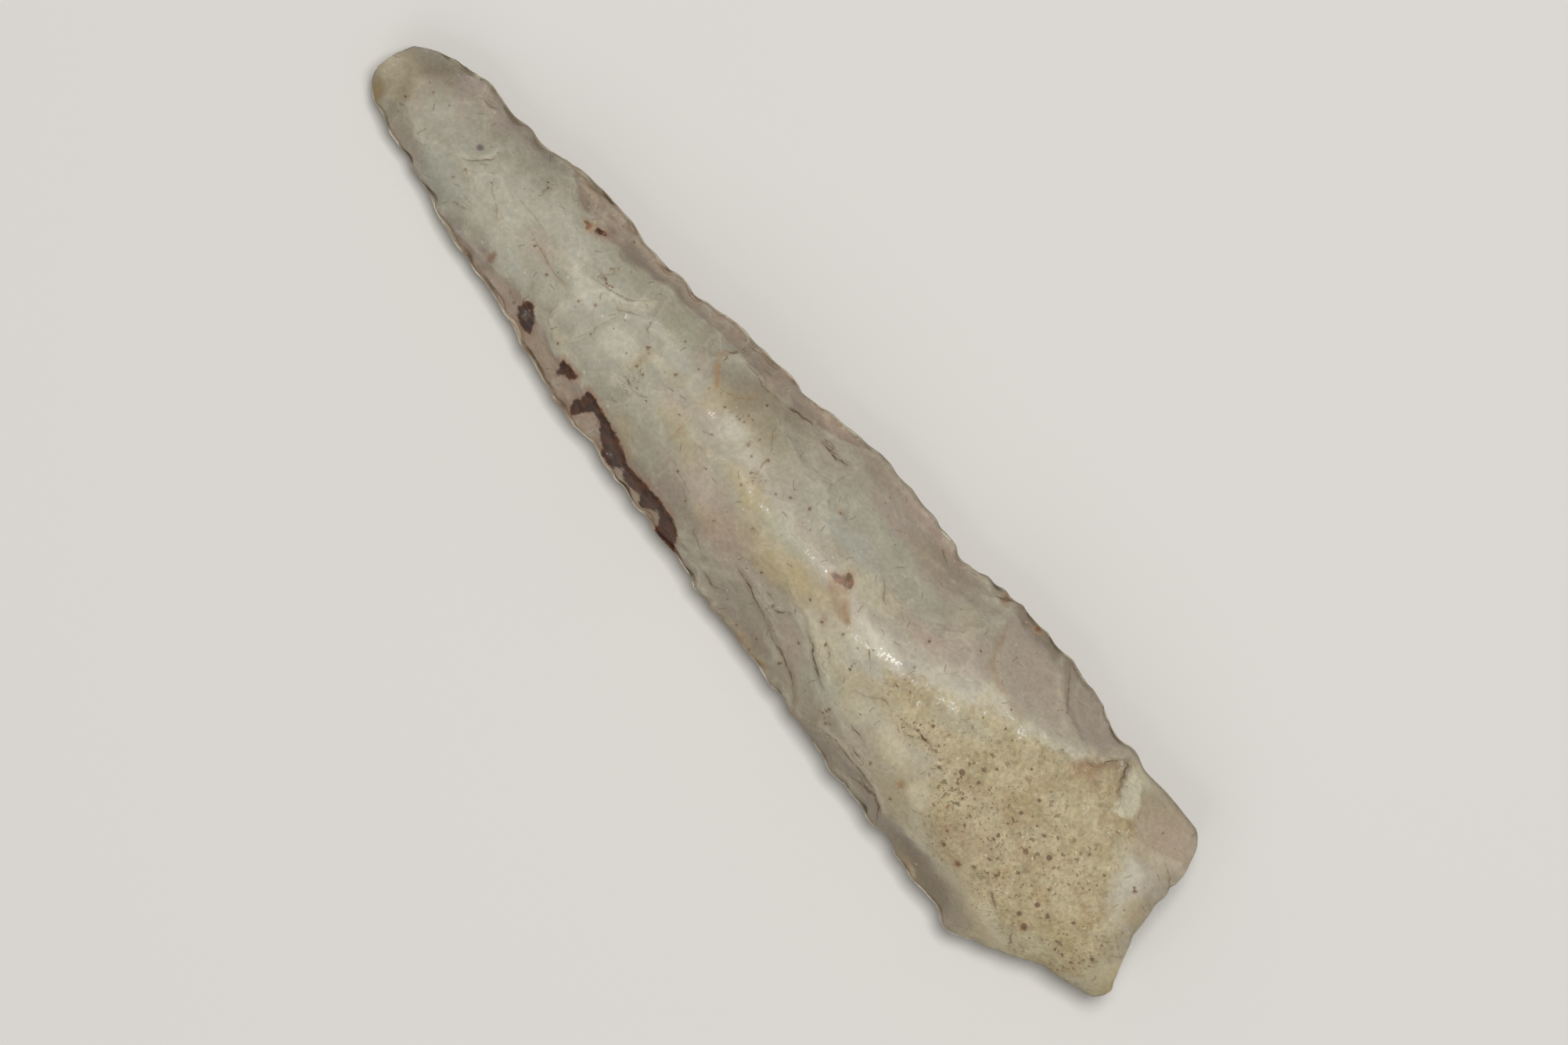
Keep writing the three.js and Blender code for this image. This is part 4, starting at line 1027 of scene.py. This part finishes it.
# Cracks.
crack_line = add("Math", {"operation": "ABSOLUTE"}, jitter(stored["crack_side"], 0.3, 0.1, 5.0))
lay("#8a7559", (crack_line, 0.0, 0.4, 1, 0), stored["crack_near"], 0.35)
gaps = patches(0.5, 33.0, 0.38, 0.58, 1, 0.3)
crack = share((crack_line, 0.02, 0.1, 1, 0), stored["crack_near"], gaps)
lay("#604a34", crack, 0.85)

# Stray fine scratches: a short line in about half of the cells, each with its own turn.
scratch_spacing, scratch_length, scratch_width = 1.9, 0.6, 0.035
cells = add("TexVoronoi", {"voronoi_dimensions": "2D"}, in_mm, 1 / scratch_spacing)
chance = add("SeparateColor", {}, cells.outputs["Color"])
from_middle = add("VectorMath", {"operation": "SUBTRACT"}, in_mm, cells.outputs["Position"])
angle = share(chance.outputs[0], 2 * math.pi)
turned = add("SeparateXYZ", {}, add("VectorRotate", {"rotation_type": "Z_AXIS"}, from_middle, Angle=angle))
lengthways = add("Math", {"operation": "ABSOLUTE"}, turned.outputs[0])
sideways = add("Math", {"operation": "ABSOLUTE"}, jitter(turned.outputs[1], 0.5, 0.3, 8.0))
scratch = share(
    (lengthways, 0.3 * scratch_length, 0.5 * scratch_length, 1, 0),
    (sideways, 0.4 * scratch_width, scratch_width, 1, 0),
    (chance.outputs[1], 0.5, 0.6),
    (rind, 0, 1, 1, 0),
)
lay("#79654d", scratch, 0.4)

# Brown and pale specks.
speck = spots(0.9, 0.1, 37.0, 0.4, 0.06)
lay("#695240", speck, 0.7)
lay("#79664c", spots(0.6, 0.08, 61.0, 0.5, 0.06), 0.6)
lay("#cbc4ae", spots(0.7, 0.1, 71.0, 0.5, 0.1), 0.5)

# Painted highlights: a paler band and white flecks along the crest, painted as glints.
where_glints = stored["glint_clusters"]
lay("#c6c0ae", (where_glints, 0.0, 1.0, 0, 0.3))
crumbs = add("TexNoise", {"noise_dimensions": "4D"}, in_mm, 40.0, 1 / 0.17, 2.0, 0.5)
rarity = share((where_glints, 0.0, 0.7, 0.72, 0.48))
glint_flecks = share((jitter(crumbs, 0.6, 0.1, 41.0), rarity, 0.8))
painted_glint = share((glint_flecks, 0.0, 0.25), (where_glints, 0.02, 0.3))
lay("#dbd7c8", painted_glint, 0.75)

# The sheen, and the fine relief: the rind is rougher, and inclusions are duller.
sheen = share((core, 0.0, 1.0, 0.5, 0.15))
matt = jitter(share((rind, 0.0, 1.0, 0.52, 0.8)), 0.5, 0.25, 50.0)
roughness = add("Math", {"operation": "SUBTRACT"}, matt, share(painted_glint, 0.2))
height = 0.0
for size, seed, detail, fineness, *factors in (
    (0.22, 51.0, 4.0, 0.6, 0.01), (1.2, 53.0, 2.0, 0.5, 0.04), (0.5, 52.0, 4.0, 0.65, rind, 0.1),
):
    lumps = add("TexNoise", {"noise_dimensions": "4D"}, in_mm, seed, 1 / size, detail, fineness)
    height = add("Math", {"operation": "ADD"}, height, share(lumps, *factors))
for dent, depth in (
    (fine_pit, 0.03), (pit, 0.06), (red_pit, 0.04), (crack, 0.06), (scratch, 0.03), (speck, 0.03),
):
    height = add("Math", {"operation": "SUBTRACT"}, height, share(dent, depth))
bump = add("Bump", {}, Strength=1.0, Distance=mm, Height=height)

skin = add(
    "BsdfPrincipled", {}, Base_Color=skin_colour, Roughness=roughness, IOR=1.54, Specular_IOR_Level=sheen,
    Normal=bump,
)
add("OutputMaterial", {}, Surface=skin)
mesh.materials.append(patina)

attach(stone, "root")
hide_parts("flint_drill")

# The table: a plain pale board, matt, that the stone lies on.
floor_size = 1.6
bpy.ops.mesh.primitive_plane_add(size=floor_size, location=(0, 0, 0))
floor = bpy.context.active_object
floor.name = "floor"
board = bpy.data.materials.new("matt pale board")
board.use_nodes = True
board_skin = board.node_tree.nodes["Principled BSDF"]
board_skin.inputs["Base Color"].default_value = linear("#d8d5cf")
board_skin.inputs["Roughness"].default_value = 0.9
floor.data.materials.append(board)

# The lamps: two large soft panels, the stronger one above and to the minus side, and a pale room.
def panel(name, place, size, power):
    """A soft square lamp that faces the stone."""
    bpy.ops.object.light_add(type="AREA", location=place)
    lamp = bpy.context.active_object
    lamp.name = name
    lamp.data.shape = "SQUARE"
    lamp.data.size = size
    lamp.data.energy = power
    lamp.rotation_euler = (-Vector(place)).to_track_quat("-Z", "Y").to_euler()


panel("key", (0.0, -0.13, 0.65), 0.24, 3.1)
panel("fill", (-0.1, 0.45, 0.45), 0.4, 0.7)
world = bpy.data.worlds.new("pale room")
world.use_nodes = True
world.node_tree.nodes["Background"].inputs["Color"].default_value = linear("#e6e6e8")
world.node_tree.nodes["Background"].inputs["Strength"].default_value = 0.3
bpy.context.scene.world = world

# The camera: straight above the stone, rolled so that the tip points up and to the left, with a long lens.
photo_width = 106.47  # mm of the margins' plane across the picture
lens_length = 200.0
sensor_width = 36.0
margin_plane = 3.0
roll = math.degrees(math.atan2(-0.7638, -0.6455))
looks_at = (38.6, -0.08)  # mm along and across, at the middle of the picture
bpy.ops.object.camera_add()
camera = bpy.context.active_object
camera.data.lens = lens_length
camera.data.sensor_width = sensor_width
camera.location = (
    (butt[0] + looks_at[0]) * mm,
    (butt[1] + looks_at[1]) * mm,
    (margin_plane + photo_width * lens_length / sensor_width) * mm,
)
camera.rotation_euler = (0, 0, math.radians(roll))
camera.data.clip_start = 0.01
bpy.context.scene.camera = camera
bpy.context.scene.view_settings.view_transform = "Standard"
